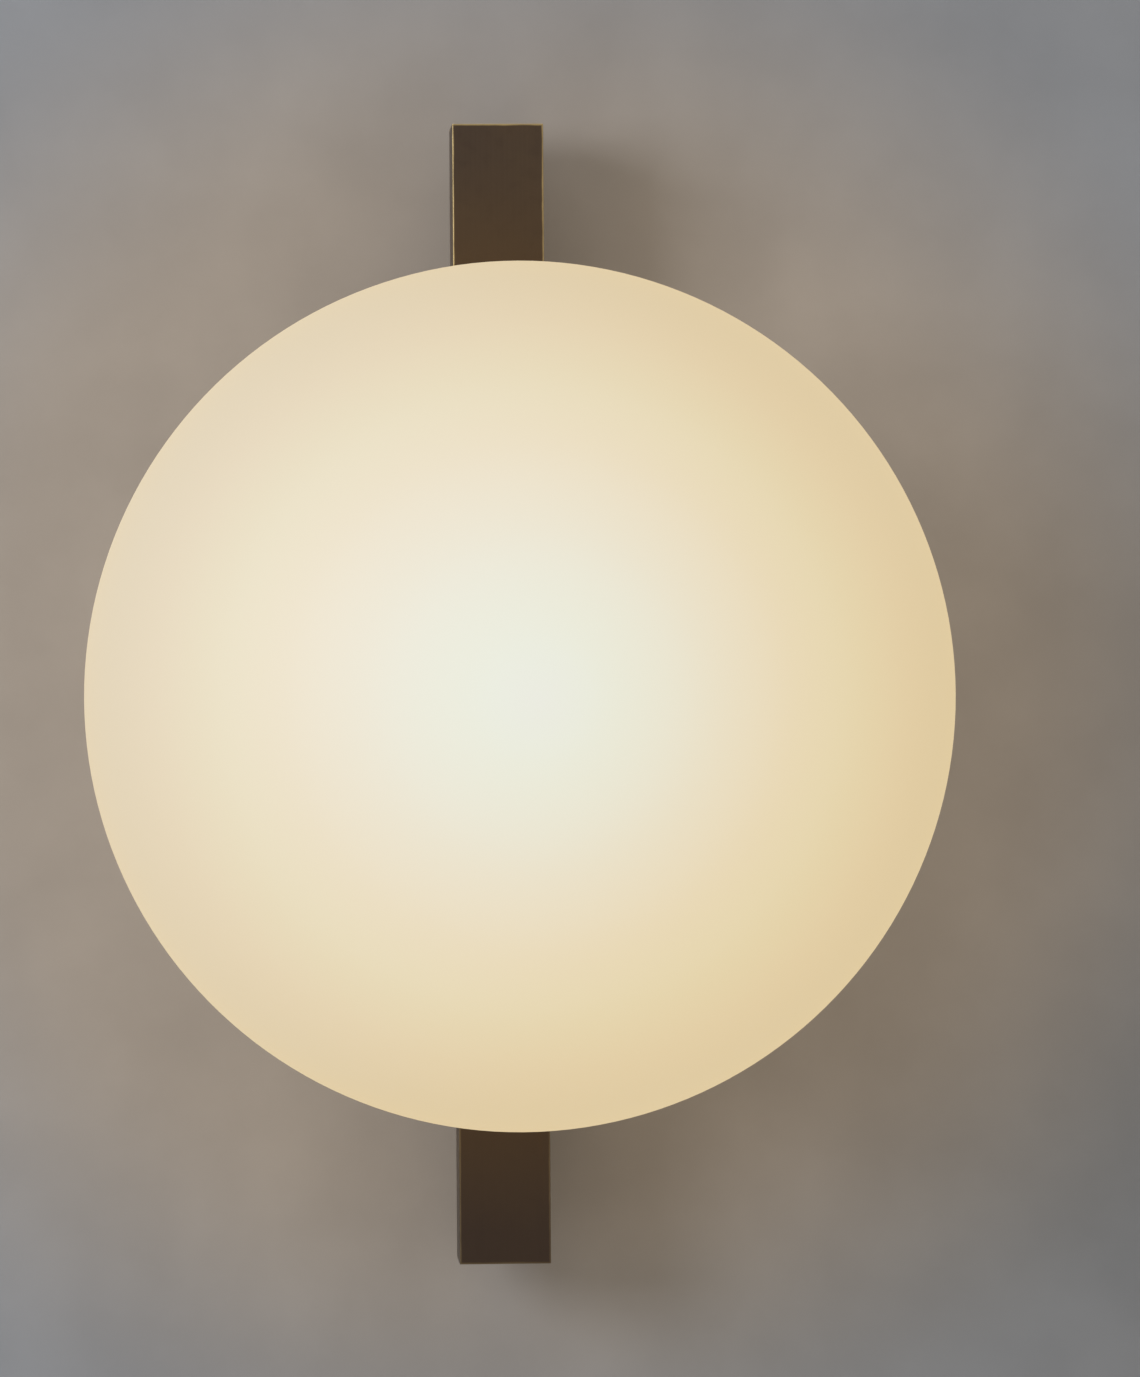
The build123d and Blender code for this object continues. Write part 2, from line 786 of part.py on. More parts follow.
def supply_lead(side, pole):
    """Lead from one pole of the block through the nipple to one terminal of the lampholder."""
    x = side * lead_offset
    lead_end = holder_terminal_offset - holder_terminal_width / 2 + terminal_lead_depth
    points = [
        (pole, block_offset - block_depth / 2 + lead_entry, pole_axis),
        (pole, lead_fan, pole_axis),
        (x, 0, pole_axis),
        (x, 0, holder_pole_axis),
        (side * lead_end, 0, holder_pole_axis),
    ]
    return swept_lead(points, [lead_fan_bend, lead_bend, terminal_bend])


def earth_lead():
    """Lead from the block to the earth tag."""
    barrel_axis = plate_sheet + earth_barrel_diameter / 2
    barrel_start = earth_y + earth_barrel_gap
    barrel_end = barrel_start + earth_barrel_length
    points = [
        (pole_pitch, block_offset - block_depth / 2 + lead_entry, pole_axis),
        (pole_pitch, lead_fan, pole_axis),
        (earth_x, earth_lead_turn, pole_axis),
        (earth_x, barrel_end + earth_lead_rise, pole_axis),
        (earth_x, barrel_end + lead_diameter, barrel_axis),
        (earth_x, barrel_start + fit_gap, barrel_axis),
    ]
    return swept_lead(points, [lead_bend, lead_bend, lead_bend, lead_bend])


# Lamp

lamp_seam = lamp_centre - lamp_seam_drop
lamp_radius = lamp_diameter / 2
seam_radius = math.sqrt(lamp_radius**2 - lamp_seam_drop**2)


def lamp_tip_contact():
    """Solder tip at the end of the lamp's cap."""
    radius = lamp_tip_diameter / 2
    return turned(
        (0, lamp_tip),
        (radius - lamp_tip_height, lamp_tip),
        (radius, lamp_insulator_low),
        (0, lamp_insulator_low),
    )


def lamp_insulator():
    """Black glass cone between the tip and the cap shell."""
    return turned(
        (0, lamp_insulator_low),
        (lamp_tip_diameter / 2, lamp_insulator_low),
        (lamp_insulator_diameter / 2, lamp_cap_low),
        (0, lamp_cap_low),
    )


def lamp_cap():
    """Screw cap of the lamp, its thread a plain cylinder."""
    radius = lamp_cap_diameter / 2
    return turned(
        (0, lamp_cap_low),
        (lamp_insulator_diameter / 2, lamp_cap_low),
        (radius, lamp_cap_low + radius - lamp_insulator_diameter / 2),
        (radius, lamp_cap_top),
        (0, lamp_cap_top),
    )


def lamp_body():
    """Moulded body that flares from the cap to the seam of the dome."""
    collar_top = lamp_cap_top + lamp_collar_height
    spigot = seam_radius - lamp_dome_wall - fit_gap
    return turned(
        (0, lamp_cap_top),
        (lamp_collar_diameter / 2, lamp_cap_top),
        (lamp_collar_diameter / 2, collar_top),
        (lamp_flare_diameter / 2, collar_top + lamp_flare_height, lamp_rounding),
        (seam_radius, lamp_seam),
        (spigot - lamp_dome_wall, lamp_seam),
        (spigot - lamp_dome_wall, lamp_seam + lamp_dome_wall),
        (0, lamp_seam + lamp_dome_wall),
    )


def lamp_dome():
    """Diffuser dome, a thin shell of a sphere cut at the seam."""
    shell = Sphere(lamp_radius) - Sphere(lamp_radius - lamp_dome_wall)
    above = Pos(0, 0, -lamp_seam_drop) * extrude(Rectangle(lamp_length, lamp_length), lamp_length)
    return Pos(0, 0, lamp_centre) * (shell & above)


nodes = {
    "wall_plate": wall_plate(),
    "side_screws": side_screws(),
    "earth_tag": earth_tag(),
    "earth_screw": earth_screw(),
    "canopy": canopy(),
    "bar_tube": bar_tube(),
    "top_end_cap": end_cap(1),
    "bottom_end_cap": end_cap(-1),
    "rivet_nuts": rivet_nuts(),
    "bar_screws": bar_screws(),
    "spacer_sleeve": tube(spacer_diameter / 2, nipple_hole_radius, bar_back_inner, bar_front_inner),
    "nipple": tube(nipple_radius, nipple_bore_diameter / 2, nipple_low, holder_floor),
    "wire_bush": wire_bush(),
    "rear_washer": tube(washer_diameter / 2, nipple_hole_radius, rear_washer_low, canopy_face),
    "rear_nut": mirror(
        hexagon_nut(-rear_washer_low, -rear_nut_low, nipple_radius + thread_gap), Plane.XY
    ),
    "gallery": gallery(),
    "locating_pin": locating_pin(),
    "toothed_washer": toothed_washer(),
    "lock_nut": hexagon_nut(toothed_washer_top, holder_low, nipple_radius + thread_gap),
    "rear_gasket": rear_gasket(),
    "slip_washer": slip_washer(),
    "retaining_ring": retaining_ring(),
    "globe_glass": split(glass, widest, keep=Keep.TOP),
    "globe_back": back_of_globe,
    "globe_shoulder": split(glass, shoulder_top, keep=Keep.BOTTOM),
    "holder_cap": holder_cap(),
    "holder_skirt": holder_skirt(),
    "holder_insert": holder_insert(),
    "screw_shell": screw_shell(),
    "contact_foot": contact_foot(),
    "contact_rivet": contact_rivet(),
    "contact_tongue": contact_tongue(),
    "holder_terminals": holder_terminals(),
    "holder_screws": holder_screws(),
    "terminal_block": terminal_block(),
    "terminal_sleeves": terminal_sleeves(),
    "terminal_screws": terminal_screws(),
    "block_screw": block_screw(),
    "live_lead": supply_lead(-1, -pole_pitch),
    "neutral_lead": supply_lead(1, 0),
    "earth_lead": earth_lead(),
    "lamp_tip_contact": lamp_tip_contact(),
    "lamp_insulator": lamp_insulator(),
    "lamp_cap": lamp_cap(),
    "lamp_body": lamp_body(),
    "lamp_dome": lamp_dome(),
}

os.makedirs("parts", exist_ok=True)
stand_up = Rot(90, 0, 0)
for name, shape in nodes.items():
    export_step(stand_up * shape, f"parts/{name}.step")
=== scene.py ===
# %% [markdown]
# # Globe wall sconce
# An opal glass globe sits in front of an upright square bar of dark, rubbed brass. The bar stands off
# the wall on a round canopy, and behind the globe there is a turned gallery, a lampholder and a lamp.
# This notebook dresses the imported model: it keeps each piece where it is, gives it its real finish,
# and models again the pieces whose surface asks for more than the plain solid has.

# %% Load the frame
import json
import math
import bmesh
import bpy
from mathutils import Matrix, Vector

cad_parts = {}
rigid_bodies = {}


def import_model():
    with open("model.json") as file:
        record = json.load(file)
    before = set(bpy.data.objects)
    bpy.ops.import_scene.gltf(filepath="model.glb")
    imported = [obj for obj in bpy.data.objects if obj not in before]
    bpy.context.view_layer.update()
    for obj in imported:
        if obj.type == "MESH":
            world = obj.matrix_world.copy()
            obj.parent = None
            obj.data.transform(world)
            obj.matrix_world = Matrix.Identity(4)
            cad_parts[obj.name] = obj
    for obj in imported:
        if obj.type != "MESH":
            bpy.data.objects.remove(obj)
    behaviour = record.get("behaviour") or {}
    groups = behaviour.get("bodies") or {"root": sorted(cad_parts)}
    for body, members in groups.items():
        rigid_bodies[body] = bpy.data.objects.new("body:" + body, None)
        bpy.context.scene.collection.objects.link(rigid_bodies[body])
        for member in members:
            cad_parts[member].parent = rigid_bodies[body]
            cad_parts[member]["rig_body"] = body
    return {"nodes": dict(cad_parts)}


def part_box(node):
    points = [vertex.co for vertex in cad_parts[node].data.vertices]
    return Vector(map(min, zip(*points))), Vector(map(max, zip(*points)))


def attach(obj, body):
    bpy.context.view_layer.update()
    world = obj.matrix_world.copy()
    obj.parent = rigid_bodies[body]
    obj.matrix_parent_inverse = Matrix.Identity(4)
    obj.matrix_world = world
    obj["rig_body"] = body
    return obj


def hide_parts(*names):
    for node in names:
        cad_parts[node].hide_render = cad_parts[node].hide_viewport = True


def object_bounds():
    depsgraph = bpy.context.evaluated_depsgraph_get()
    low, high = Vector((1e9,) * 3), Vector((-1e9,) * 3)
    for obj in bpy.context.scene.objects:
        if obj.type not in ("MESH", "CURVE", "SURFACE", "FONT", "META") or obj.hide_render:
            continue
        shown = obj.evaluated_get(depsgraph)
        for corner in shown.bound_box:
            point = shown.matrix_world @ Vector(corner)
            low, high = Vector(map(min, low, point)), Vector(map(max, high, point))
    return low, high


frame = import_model()
cad_low, cad_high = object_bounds()
nodes = frame["nodes"]
mm = 0.001
print("pieces in the frame:", len(nodes))

# %% [markdown]
# ## Camera
# The photograph is taken with a long lens, from slightly left of the light, with the camera a little
# rolled. A camera object can be aimed with a constraint, but three turns in a fixed order say exactly
# what the photographer did: turn to the right, tip down, roll. A long lens keeps the bar's
# sides nearly parallel, as they are in the photograph.

# %% Camera
camera_place = Vector((-0.0831, -2.2035, 0.0111))
camera_turn = math.radians(2.762)
camera_tip = math.radians(-0.253)
camera_roll = math.radians(-0.400)
picture_height = 1377
focal_pixels = 7036.8
film_size = 36.0

camera_data = bpy.data.cameras.new("camera")
camera_data.sensor_width = film_size
camera_data.lens = focal_pixels / picture_height * camera_data.sensor_width
camera = bpy.data.objects.new("camera", camera_data)
bpy.context.scene.collection.objects.link(camera)
aim = Matrix.Rotation(-camera_turn, 4, "Z") @ Matrix.Rotation(math.radians(90) + camera_tip, 4, "X")
camera.matrix_world = Matrix.Translation(camera_place) @ aim @ Matrix.Rotation(camera_roll, 4, "Z")
bpy.context.scene.camera = camera
bpy.context.scene.view_settings.view_transform = "Standard"
print("lens in millimetres:", round(camera_data.lens, 1))

# %% [markdown]
# ## Helpers for materials
# Colours are written as sRGB hex values, the way a paint chart gives them. Blender's sockets want
# linear light, so one function turns them. One more function adds a node, sets its values and joins
# its inputs, so that each material below reads as a list of what it is made of.

# %% Helpers for materials
def linear(hex_colour):
    """Linear light values of an sRGB hex colour."""
    parts = [int(hex_colour[i:i + 2], 16) / 255 for i in (1, 3, 5)]
    return [p / 12.92 if p <= 0.04045 else ((p + 0.055) / 1.055) ** 2.4 for p in parts] + [1.0]


print("half grey on a paint chart is this much light:", round(linear("#808080")[0], 3))


# %% Adding a node
def add(tree, kind, inputs=(), stops=(), output=None, **settings):
    """Adds a node and returns its output. An input is a value, a hex colour or another node's output."""
    node = tree.nodes.new(kind)
    for name, value in settings.items():
        setattr(node, name, value)
    for name, value in dict(inputs).items():
        socket = next(s for s in node.inputs if s.enabled and name in (s.name, s.identifier))
        if isinstance(value, bpy.types.NodeSocket):
            tree.links.new(value, socket)
        else:
            socket.default_value = linear(value) if isinstance(value, str) else value
    while len(stops) > 2 and len(node.color_ramp.elements) < len(stops):
        node.color_ramp.elements.new(0.5)
    for number, (place, shade) in enumerate(stops):
        node.color_ramp.elements[number].position = place
        shade = linear(shade) if isinstance(shade, str) else (shade, shade, shade, 1)
        node.color_ramp.elements[number].color = shade
    if output:
        return node.outputs[output]
    return next((s for s in node.outputs if s.enabled), None)


# %% Helpers for patterns
def new_material(name):
    """An empty material and its node tree."""
    material = bpy.data.materials.new(name)
    material.use_nodes = True
    material.node_tree.nodes.clear()
    return material, material.node_tree


def blotches(tree, spacing, stretch=(1, 1, 1), detail=3.0):
    """Blotches or streaks whose spacing is in millimetres. A stretch under 1 draws them out that way."""
    place = add(tree, "ShaderNodeTexCoord", output="Object")
    place = add(tree, "ShaderNodeMapping", {"Vector": place, "Scale": stretch})
    inputs = {"Vector": place, "Scale": 1 / (spacing * mm), "Detail": detail}
    return add(tree, "ShaderNodeTexNoise", inputs)


def radius_about_axis(tree):
    """Distance from the axis that the globe, ring and canopy are turned about."""
    place = add(tree, "ShaderNodeTexCoord", output="Object")
    inputs = {"Vector": place, "Vector_001": (1, 0, 1)}
    flat = add(tree, "ShaderNodeVectorMath", inputs, operation="MULTIPLY")
    return add(tree, "ShaderNodeVectorMath", {"Vector": flat}, output="Value", operation="LENGTH")


# %% [markdown]
# ## Wall, floor and light
# The light hangs on a plain plastered wall above a pale floor. Both are stage, so they are not part of
# the object. Their backs let everything through, because a view from behind has to show the
# sconce and not the back of a wall. A round opening that the canopy covers lets light reach the wall
# plate from there. The wall's paint is painted warmer around the light than away from it: a painted
# glow, standing for the light of the globe that falls there. A soft lamp at the left is the window and
# casts the bar's shadow to the right, another above is the skylight, a faint one fills from the right,
# and the world gives the plain light that comes from all sides.

# %% Paint of the stage
stage_size = 4.0
wall_opening = 0.052
# The floor's sheet is made as the wall's is, so it has an opening too, as small as a pinhole.
pinhole = 0.4 * mm
stage_sides = 64
floor_drop = 0.62
wall_gap = 0.4 * mm
painted_glow_near = 0.15
painted_glow_far = 0.27


def stage_material(name, grain, near, far):
    """Matt paint on the front of a sheet, and nothing on its back. A painted glow warms it near the
    light.
    """
    material, tree = new_material(name)
    # Painted glow: the paint turns from its near colour by the light's axis to its far colour away from
    # it.
    inputs = {"Value": radius_about_axis(tree), "From Min": painted_glow_near, "From Max": painted_glow_far}
    away = add(tree, "ShaderNodeMapRange", inputs, interpolation_type="SMOOTHSTEP")
    paint = add(tree, "ShaderNodeMix", {"Factor": away, "A": near, "B": far}, data_type="RGBA")
    mottle = blotches(tree, spacing=grain, detail=5.0)
    shade = add(tree, "ShaderNodeValToRGB", {"Fac": mottle}, stops=[(0.3, "#F2F2F2"), (0.7, "#FFFFFF")])
    inputs = {"Factor": 1.0, "A": paint, "B": shade}
    colour = add(tree, "ShaderNodeMix", inputs, data_type="RGBA", blend_type="MULTIPLY")
    bump = add(tree, "ShaderNodeBump", {"Height": mottle, "Distance": 0.15 * mm, "Strength": 0.5})
    paint = add(tree, "ShaderNodeBsdfDiffuse", {"Color": colour, "Normal": bump})
    back = add(tree, "ShaderNodeNewGeometry", output="Backfacing")
    clear = add(tree, "ShaderNodeBsdfTransparent")
    shader = add(tree, "ShaderNodeMixShader", {"Fac": back, "Shader": paint, "Shader_001": clear})
    add(tree, "ShaderNodeOutputMaterial", {"Surface": shader})
    return material


# %% Wall and floor
def stage_sheet(name, material, opening, turn, place):
    """A flat round sheet of the stage with an opening in it, facing the way its turn says."""
    mesh = bmesh.new()
    for radius in (opening, stage_size / 2):
        bmesh.ops.create_circle(mesh, segments=stage_sides, radius=radius)
    bmesh.ops.bridge_loops(mesh, edges=mesh.edges)
    for face in mesh.faces:
        face.normal_update()
        if face.normal.z < 0:
            face.normal_flip()
    bmesh.ops.transform(mesh, verts=mesh.verts, matrix=Matrix.Translation(place) @ turn)
    data = bpy.data.meshes.new(name)
    mesh.to_mesh(data)
    mesh.free()
    data.materials.append(material)
    sheet = bpy.data.objects.new(name, data)
    bpy.context.scene.collection.objects.link(sheet)


facing_out = Matrix.Rotation(math.radians(90), 4, "X")
# The wall's near colour is a painted glow: warmer paint where the globe's light falls.
wall_paint = stage_material("wall_paint", 45, near="#A4998D", far="#8F9092")
floor_paint = stage_material("floor_paint", 80, near="#F3F1ED", far="#F3F1ED")
stage_sheet("wall", wall_paint, wall_opening, facing_out, Vector((0, wall_gap, 0)))
stage_sheet("floor", floor_paint, pinhole, Matrix.Identity(4), Vector((0, 0, -floor_drop)))
print("the floor lies", floor_drop, "metres below the middle of the globe")

# %% Lamps
def soft_lamp(name, place, power, size, colour):
    """A square soft lamp aimed at the middle of the object."""
    lamp = bpy.data.lights.new(name, "AREA")
    lamp.energy = power
    lamp.size = size
    lamp.color = linear(colour)[:3]
    stand = bpy.data.objects.new(name, lamp)
    stand.location = place
    middle = (cad_low + cad_high) / 2
    stand.rotation_euler = (middle - stand.location).to_track_quat("-Z", "Y").to_euler()
    bpy.context.scene.collection.objects.link(stand)


soft_lamp("window", Vector((-1.05, -0.95, 0.32)), power=11, size=0.6, colour="#EEF4FF")
soft_lamp("skylight", Vector((-0.3, -1.3, 1.7)), power=9, size=1.4, colour="#E4EDFF")
soft_lamp("fill", Vector((1.9, -1.6, -0.1)), power=6, size=1.6, colour="#FFF4E6")
print("lamps:", len(bpy.data.lights))

# %% World
# The camera and reflections see a pale room, and what the world sheds on the pieces is weaker.
world = bpy.data.worlds.new("studio")
bpy.context.scene.world = world
world.use_nodes = True
sky = world.node_tree
sky.nodes.clear()
seen = add(sky, "ShaderNodeLightPath", output="Is Camera Ray")
mirrored = add(sky, "ShaderNodeLightPath", output="Is Glossy Ray")
plain = add(sky, "ShaderNodeMath", {"Value": seen, "Value_001": mirrored}, operation="MAXIMUM")
ambient = add(sky, "ShaderNodeBackground", {"Color": "#F2F1EE", "Strength": 0.52})
pale = add(sky, "ShaderNodeBackground", {"Color": "#E6E4E0", "Strength": 1.0})
sky_light = add(sky, "ShaderNodeMixShader", {"Fac": plain, "Shader": ambient, "Shader_001": pale})
add(sky, "ShaderNodeOutputWorld", {"Surface": sky_light})
print("nodes of the world:", len(sky.nodes))

# %% [markdown]
# ## Aged brass
# The bar is drawn brass that was darkened chemically, brushed along its length and waxed. Handling has
# rubbed the dark layer off its edges, so a thin bright line runs down each of them. Edge wear can be
# painted by hand or found from the shape. Here it is worked out from the bar's own box: on a face,
# the second smallest distance to the three pairs of sides is the distance to the nearest edge.

# %% Distance to the nearest edge of the bar
bar_low, bar_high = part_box("bar_tube")
print("the bar is", round((bar_high.z - bar_low.z) / mm), "mm long")


def edge_distance(tree, low, high):
    """Distance to the nearest edge of a box, for a point on its surface."""
    place = add(tree, "ShaderNodeTexCoord", output="Object")
    inputs = {"Vector": place, "Vector_001": (low + high) / 2}
    place = add(tree, "ShaderNodeVectorMath", inputs, operation="SUBTRACT")
    place = add(tree, "ShaderNodeVectorMath", {"Vector": place}, operation="ABSOLUTE")
    inputs = {"Vector": (high - low) / 2, "Vector_001": place}
    depth = add(tree, "ShaderNodeVectorMath", inputs, operation="SUBTRACT")
    split = add(tree, "ShaderNodeSeparateXYZ", {"Vector": depth}).node
    x, y, z = split.outputs
    low_pair = add(tree, "ShaderNodeMath", {"Value": x, "Value_001": y}, operation="MINIMUM")
    high_pair = add(tree, "ShaderNodeMath", {"Value": x, "Value_001": y}, operation="MAXIMUM")
    high_pair = add(tree, "ShaderNodeMath", {"Value": high_pair, "Value_001": z}, operation="MINIMUM")
    return add(tree, "ShaderNodeMath", {"Value": low_pair, "Value_001": high_pair}, operation="MAXIMUM")


# %% Patina
def patinated_metal(tree, rubbed, streaks, painted_foot_shade=0.0, painted_globe_glow=0.0):
    """Dark patina, cloudy and brushed, worn through to bright brass where it is rubbed."""
    cloud = blotches(tree, spacing=34, detail=4.0)
    spots = blotches(tree, spacing=4.5, detail=6.0)
    dark = add(tree, "ShaderNodeValToRGB", {"Fac": cloud}, stops=[(0.3, "#3C2D20"), (0.7, "#473622")])
    spot = add(tree, "ShaderNodeValToRGB", {"Fac": spots}, stops=[(0.32, "#B9A48C"), (0.5, "#FFFFFF")])
    brush = add(tree, "ShaderNodeValToRGB", {"Fac": streaks}, stops=[(0.3, "#D8CDBF"), (0.7, "#FFFFFF")])
    for share, layer in ((0.2, spot), (0.25, brush)):
        inputs = {"Factor": share, "A": dark, "B": layer}
        dark = add(tree, "ShaderNodeMix", inputs, data_type="RGBA", blend_type="MULTIPLY")
    # Painted shade: the patina is mixed towards a near-black brown as far as its shade factor says.
    dark = add(tree, "ShaderNodeMix", {"Factor": painted_foot_shade, "A": dark, "B": "#2C1A0A"}, data_type="RGBA")
    # Painted glow: near the globe the patina is mixed towards a warm gold, for the globe's light.
    dark = add(tree, "ShaderNodeMix", {"Factor": painted_globe_glow, "A": dark, "B": "#503918"}, data_type="RGBA")
    colour = add(tree, "ShaderNodeMix", {"Factor": rubbed, "A": dark, "B": "#B9A06A"}, data_type="RGBA")
    inputs = {"Value": streaks, "From Min": 0.2, "From Max": 0.8, "To Min": 0.46, "To Max": 0.38}
    rough = add(tree, "ShaderNodeMapRange", inputs)
    bump = add(tree, "ShaderNodeBump", {"Height": streaks, "Distance": 0.02 * mm, "Strength": 0.6})
    inputs = {"Base Color": colour, "Metallic": 0.8, "Roughness": rough, "Normal": bump}
    inputs |= {"Coat Weight": 0.3, "Coat Roughness": 0.3}
    shader = add(tree, "ShaderNodeBsdfPrincipled", inputs)
    add(tree, "ShaderNodeOutputMaterial", {"Surface": shader})


# %% Aged brass of the bar
rub_reach = 0.9 * mm
rub_core = 0.35 * mm
least_rubbed_most_shaded = -120 * mm
most_rubbed_unshaded = 60 * mm
painted_glow_reach = 130 * mm
painted_glow_end = 165 * mm


def aged_brass_brushed():
    """Bar and end caps: brushed lengthwise, rubbed at the edges, painted darker at the foot as shade."""
    # A brush leaves lines 0.1 mm apart. They are drawn coarser, 0.8 mm apart, so that they show.
    material, tree = new_material("aged_brass_brushed")
    brushing = blotches(tree, spacing=0.8, stretch=(1, 1, 0.015), detail=3.0)
    uneven = blotches(tree, spacing=7, detail=2.0)
    edge = edge_distance(tree, bar_low, bar_high)
    inputs = {"Value": uneven, "Value_001": 0.5 * mm, "Value_002": edge}
    edge = add(tree, "ShaderNodeMath", inputs, operation="MULTIPLY_ADD")
    inputs = {"Value": edge, "From Min": rub_core, "From Max": rub_reach}
    rubbed = add(tree, "ShaderNodeMapRange", inputs | {"To Min": 0.75, "To Max": 0.0})
    place = add(tree, "ShaderNodeTexCoord", output="Object")
    height = add(tree, "ShaderNodeSeparateXYZ", {"Vector": place}, output="Z")
    inputs = {"Value": height, "From Min": least_rubbed_most_shaded, "From Max": most_rubbed_unshaded}
    handled = add(tree, "ShaderNodeMapRange", inputs | {"To Min": 0.2, "To Max": 1.0})
    rubbed = add(tree, "ShaderNodeMath", {"Value": rubbed, "Value_001": handled}, operation="MULTIPLY")
    # Painted shade: the patina is painted darker towards the foot of the bar.
    painted_foot_shade = add(tree, "ShaderNodeMapRange", inputs | {"To Min": 0.7, "To Max": 0.0})
    # Painted glow: near the globe the patina is painted golden, for the light that the glass sheds on
    # it.
    away = add(tree, "ShaderNodeMath", {"Value": height}, operation="ABSOLUTE")
    inputs = {"Value": away, "From Min": painted_glow_reach, "From Max": painted_glow_end}
    painted_globe_glow = add(tree, "ShaderNodeMapRange", inputs | {"To Min": 0.5, "To Max": 0.0})
    patinated_metal(tree, rubbed, brushing, painted_foot_shade, painted_globe_glow)
    return material


# %% Aged brass of the canopy
rim_rubbed = -0.3 * mm
rim_dark = -1.4 * mm
spun_ring_spacing = 0.8 * mm


def aged_brass_spun():
    """Canopy: the same patina over the rings that spinning leaves, rubbed at the rim."""
    # The rings of a spinning tool are 0.2 mm apart. They are drawn coarser, 0.8 mm apart, to show.
    material, tree = new_material("aged_brass_spun")
    radius = radius_about_axis(tree)
    inputs = {"W": radius, "Scale": 1 / spun_ring_spacing, "Detail": 3.0}
    rings = add(tree, "ShaderNodeTexNoise", inputs, noise_dimensions="1D")
    place = add(tree, "ShaderNodeTexCoord", output="Object")
    depth = add(tree, "ShaderNodeSeparateXYZ", {"Vector": place}, output="Y")
    inputs = {"Value": depth, "From Min": rim_dark, "From Max": rim_rubbed}
    rubbed = add(tree, "ShaderNodeMapRange", inputs)
    patinated_metal(tree, rubbed, rings)
    return material


# %% [markdown]
# ## Bright metals
# The gallery, ring and washers are turned brass, the contacts and terminals bright rolled brass, the
# wall plate and screws zinc-plated steel, and the lamp's cap nickel-plated. All of them are metal, so
# the base colour is the colour of their reflection. What sets them apart is roughness and the marks
# of how they were made: rings from the lathe, crystals in the zinc, rolling lines in strip.

# %% Bare metal
# The marks make a metal this much rougher or smoother than its middle value.
duller = 0.08
glossier = 0.06


def metal(name, light, dark, roughness, marks, spacing, depth):
    """A bare metal: marks vary its colour and gloss and give it a fine relief."""
    material, tree = new_material(name)
    texture = marks(tree, spacing)
    cloud = blotches(tree, spacing=11, detail=3.0)
    stain = add(tree, "ShaderNodeMix", {"Factor": 0.5, "A": texture, "B": cloud})
    colour = add(tree, "ShaderNodeValToRGB", {"Fac": stain}, stops=[(0.32, dark), (0.66, light)])
    inputs = {"Value": texture, "From Min": 0.25, "From Max": 0.75}
    inputs |= {"To Min": roughness + duller, "To Max": roughness - glossier}
    rough = add(tree, "ShaderNodeMapRange", inputs)
    bump = add(tree, "ShaderNodeBump", {"Height": texture, "Distance": depth * mm, "Strength": 0.5})
    inputs = {"Base Color": colour, "Metallic": 1.0, "Roughness": rough, "Normal": bump}
    shader = add(tree, "ShaderNodeBsdfPrincipled", inputs)
    add(tree, "ShaderNodeOutputMaterial", {"Surface": shader})
    return material


# %% Marks on bare metal
def lathe_rings(tree, spacing):
    """Fine rings about the light's axis, changing with radius and with depth."""
    radius = radius_about_axis(tree)
    place = add(tree, "ShaderNodeTexCoord", output="Object")
    depth = add(tree, "ShaderNodeSeparateXYZ", {"Vector": place}, output="Y")
    run = add(tree, "ShaderNodeMath", {"Value": radius, "Value_001": depth}, operation="SUBTRACT")
    inputs = {"W": run, "Scale": 1 / (spacing * mm), "Detail": 2.0}
    return add(tree, "ShaderNodeTexNoise", inputs, noise_dimensions="1D")


def crystals(tree, spacing):
    """Small cells of a plated surface, each of its own brightness."""
    place = add(tree, "ShaderNodeTexCoord", output="Object")
    inputs = {"Vector": place, "Scale": 1 / (spacing * mm)}
    return add(tree, "ShaderNodeTexVoronoi", inputs, output="Color")


def rolling_lines(tree, spacing):
    """Lines that rolling leaves in strip metal."""
    return blotches(tree, spacing, stretch=(1, 1, 0.05))


# %% [markdown]
# ## Plastics, ceramic and rubber
# The lampholder is black phenolic, pressed in a hot mould. Its insert is steatite, a cream ceramic that
# is fired without glaze. The terminal block is white polyamide, the gasket milky silicone. None of
# them is metal: their colour is in the body, and a weak clear reflection lies on top, so metallic
# is zero and the grain of the mould breaks up the gloss.

# %% Plastics, ceramic and rubber
grains_to_cloud = 14
gloss_swing = 0.06


def moulded(name, light, dark, roughness, grain, depth, soft=0.0, glow=None):
    """A matt or glossy body with a fine grain. A soft one lets a little light in, and one may glow."""
    material, tree = new_material(name)
    cloud = blotches(tree, spacing=grain * grains_to_cloud, detail=2.0)
    speckle = blotches(tree, spacing=grain, detail=2.0)
    colour = add(tree, "ShaderNodeValToRGB", {"Fac": cloud}, stops=[(0.35, dark), (0.65, light)])
    inputs = {"Value": speckle, "From Min": 0.3, "From Max": 0.7}
    inputs |= {"To Min": roughness - gloss_swing, "To Max": roughness + gloss_swing}
    rough = add(tree, "ShaderNodeMapRange", inputs)
    bump = add(tree, "ShaderNodeBump", {"Height": speckle, "Distance": depth * mm, "Strength": 0.5})
    inputs = {"Base Color": colour, "Roughness": rough, "Normal": bump, "Subsurface Weight": soft}
    inputs["Subsurface Radius"] = (1.0 * mm, 0.9 * mm, 0.8 * mm)
    if glow:
        inputs |= {"Emission Color": glow, "Emission Strength": 1.0}
    shader = add(tree, "ShaderNodeBsdfPrincipled", inputs)
    add(tree, "ShaderNodeOutputMaterial", {"Surface": shader})
    return material


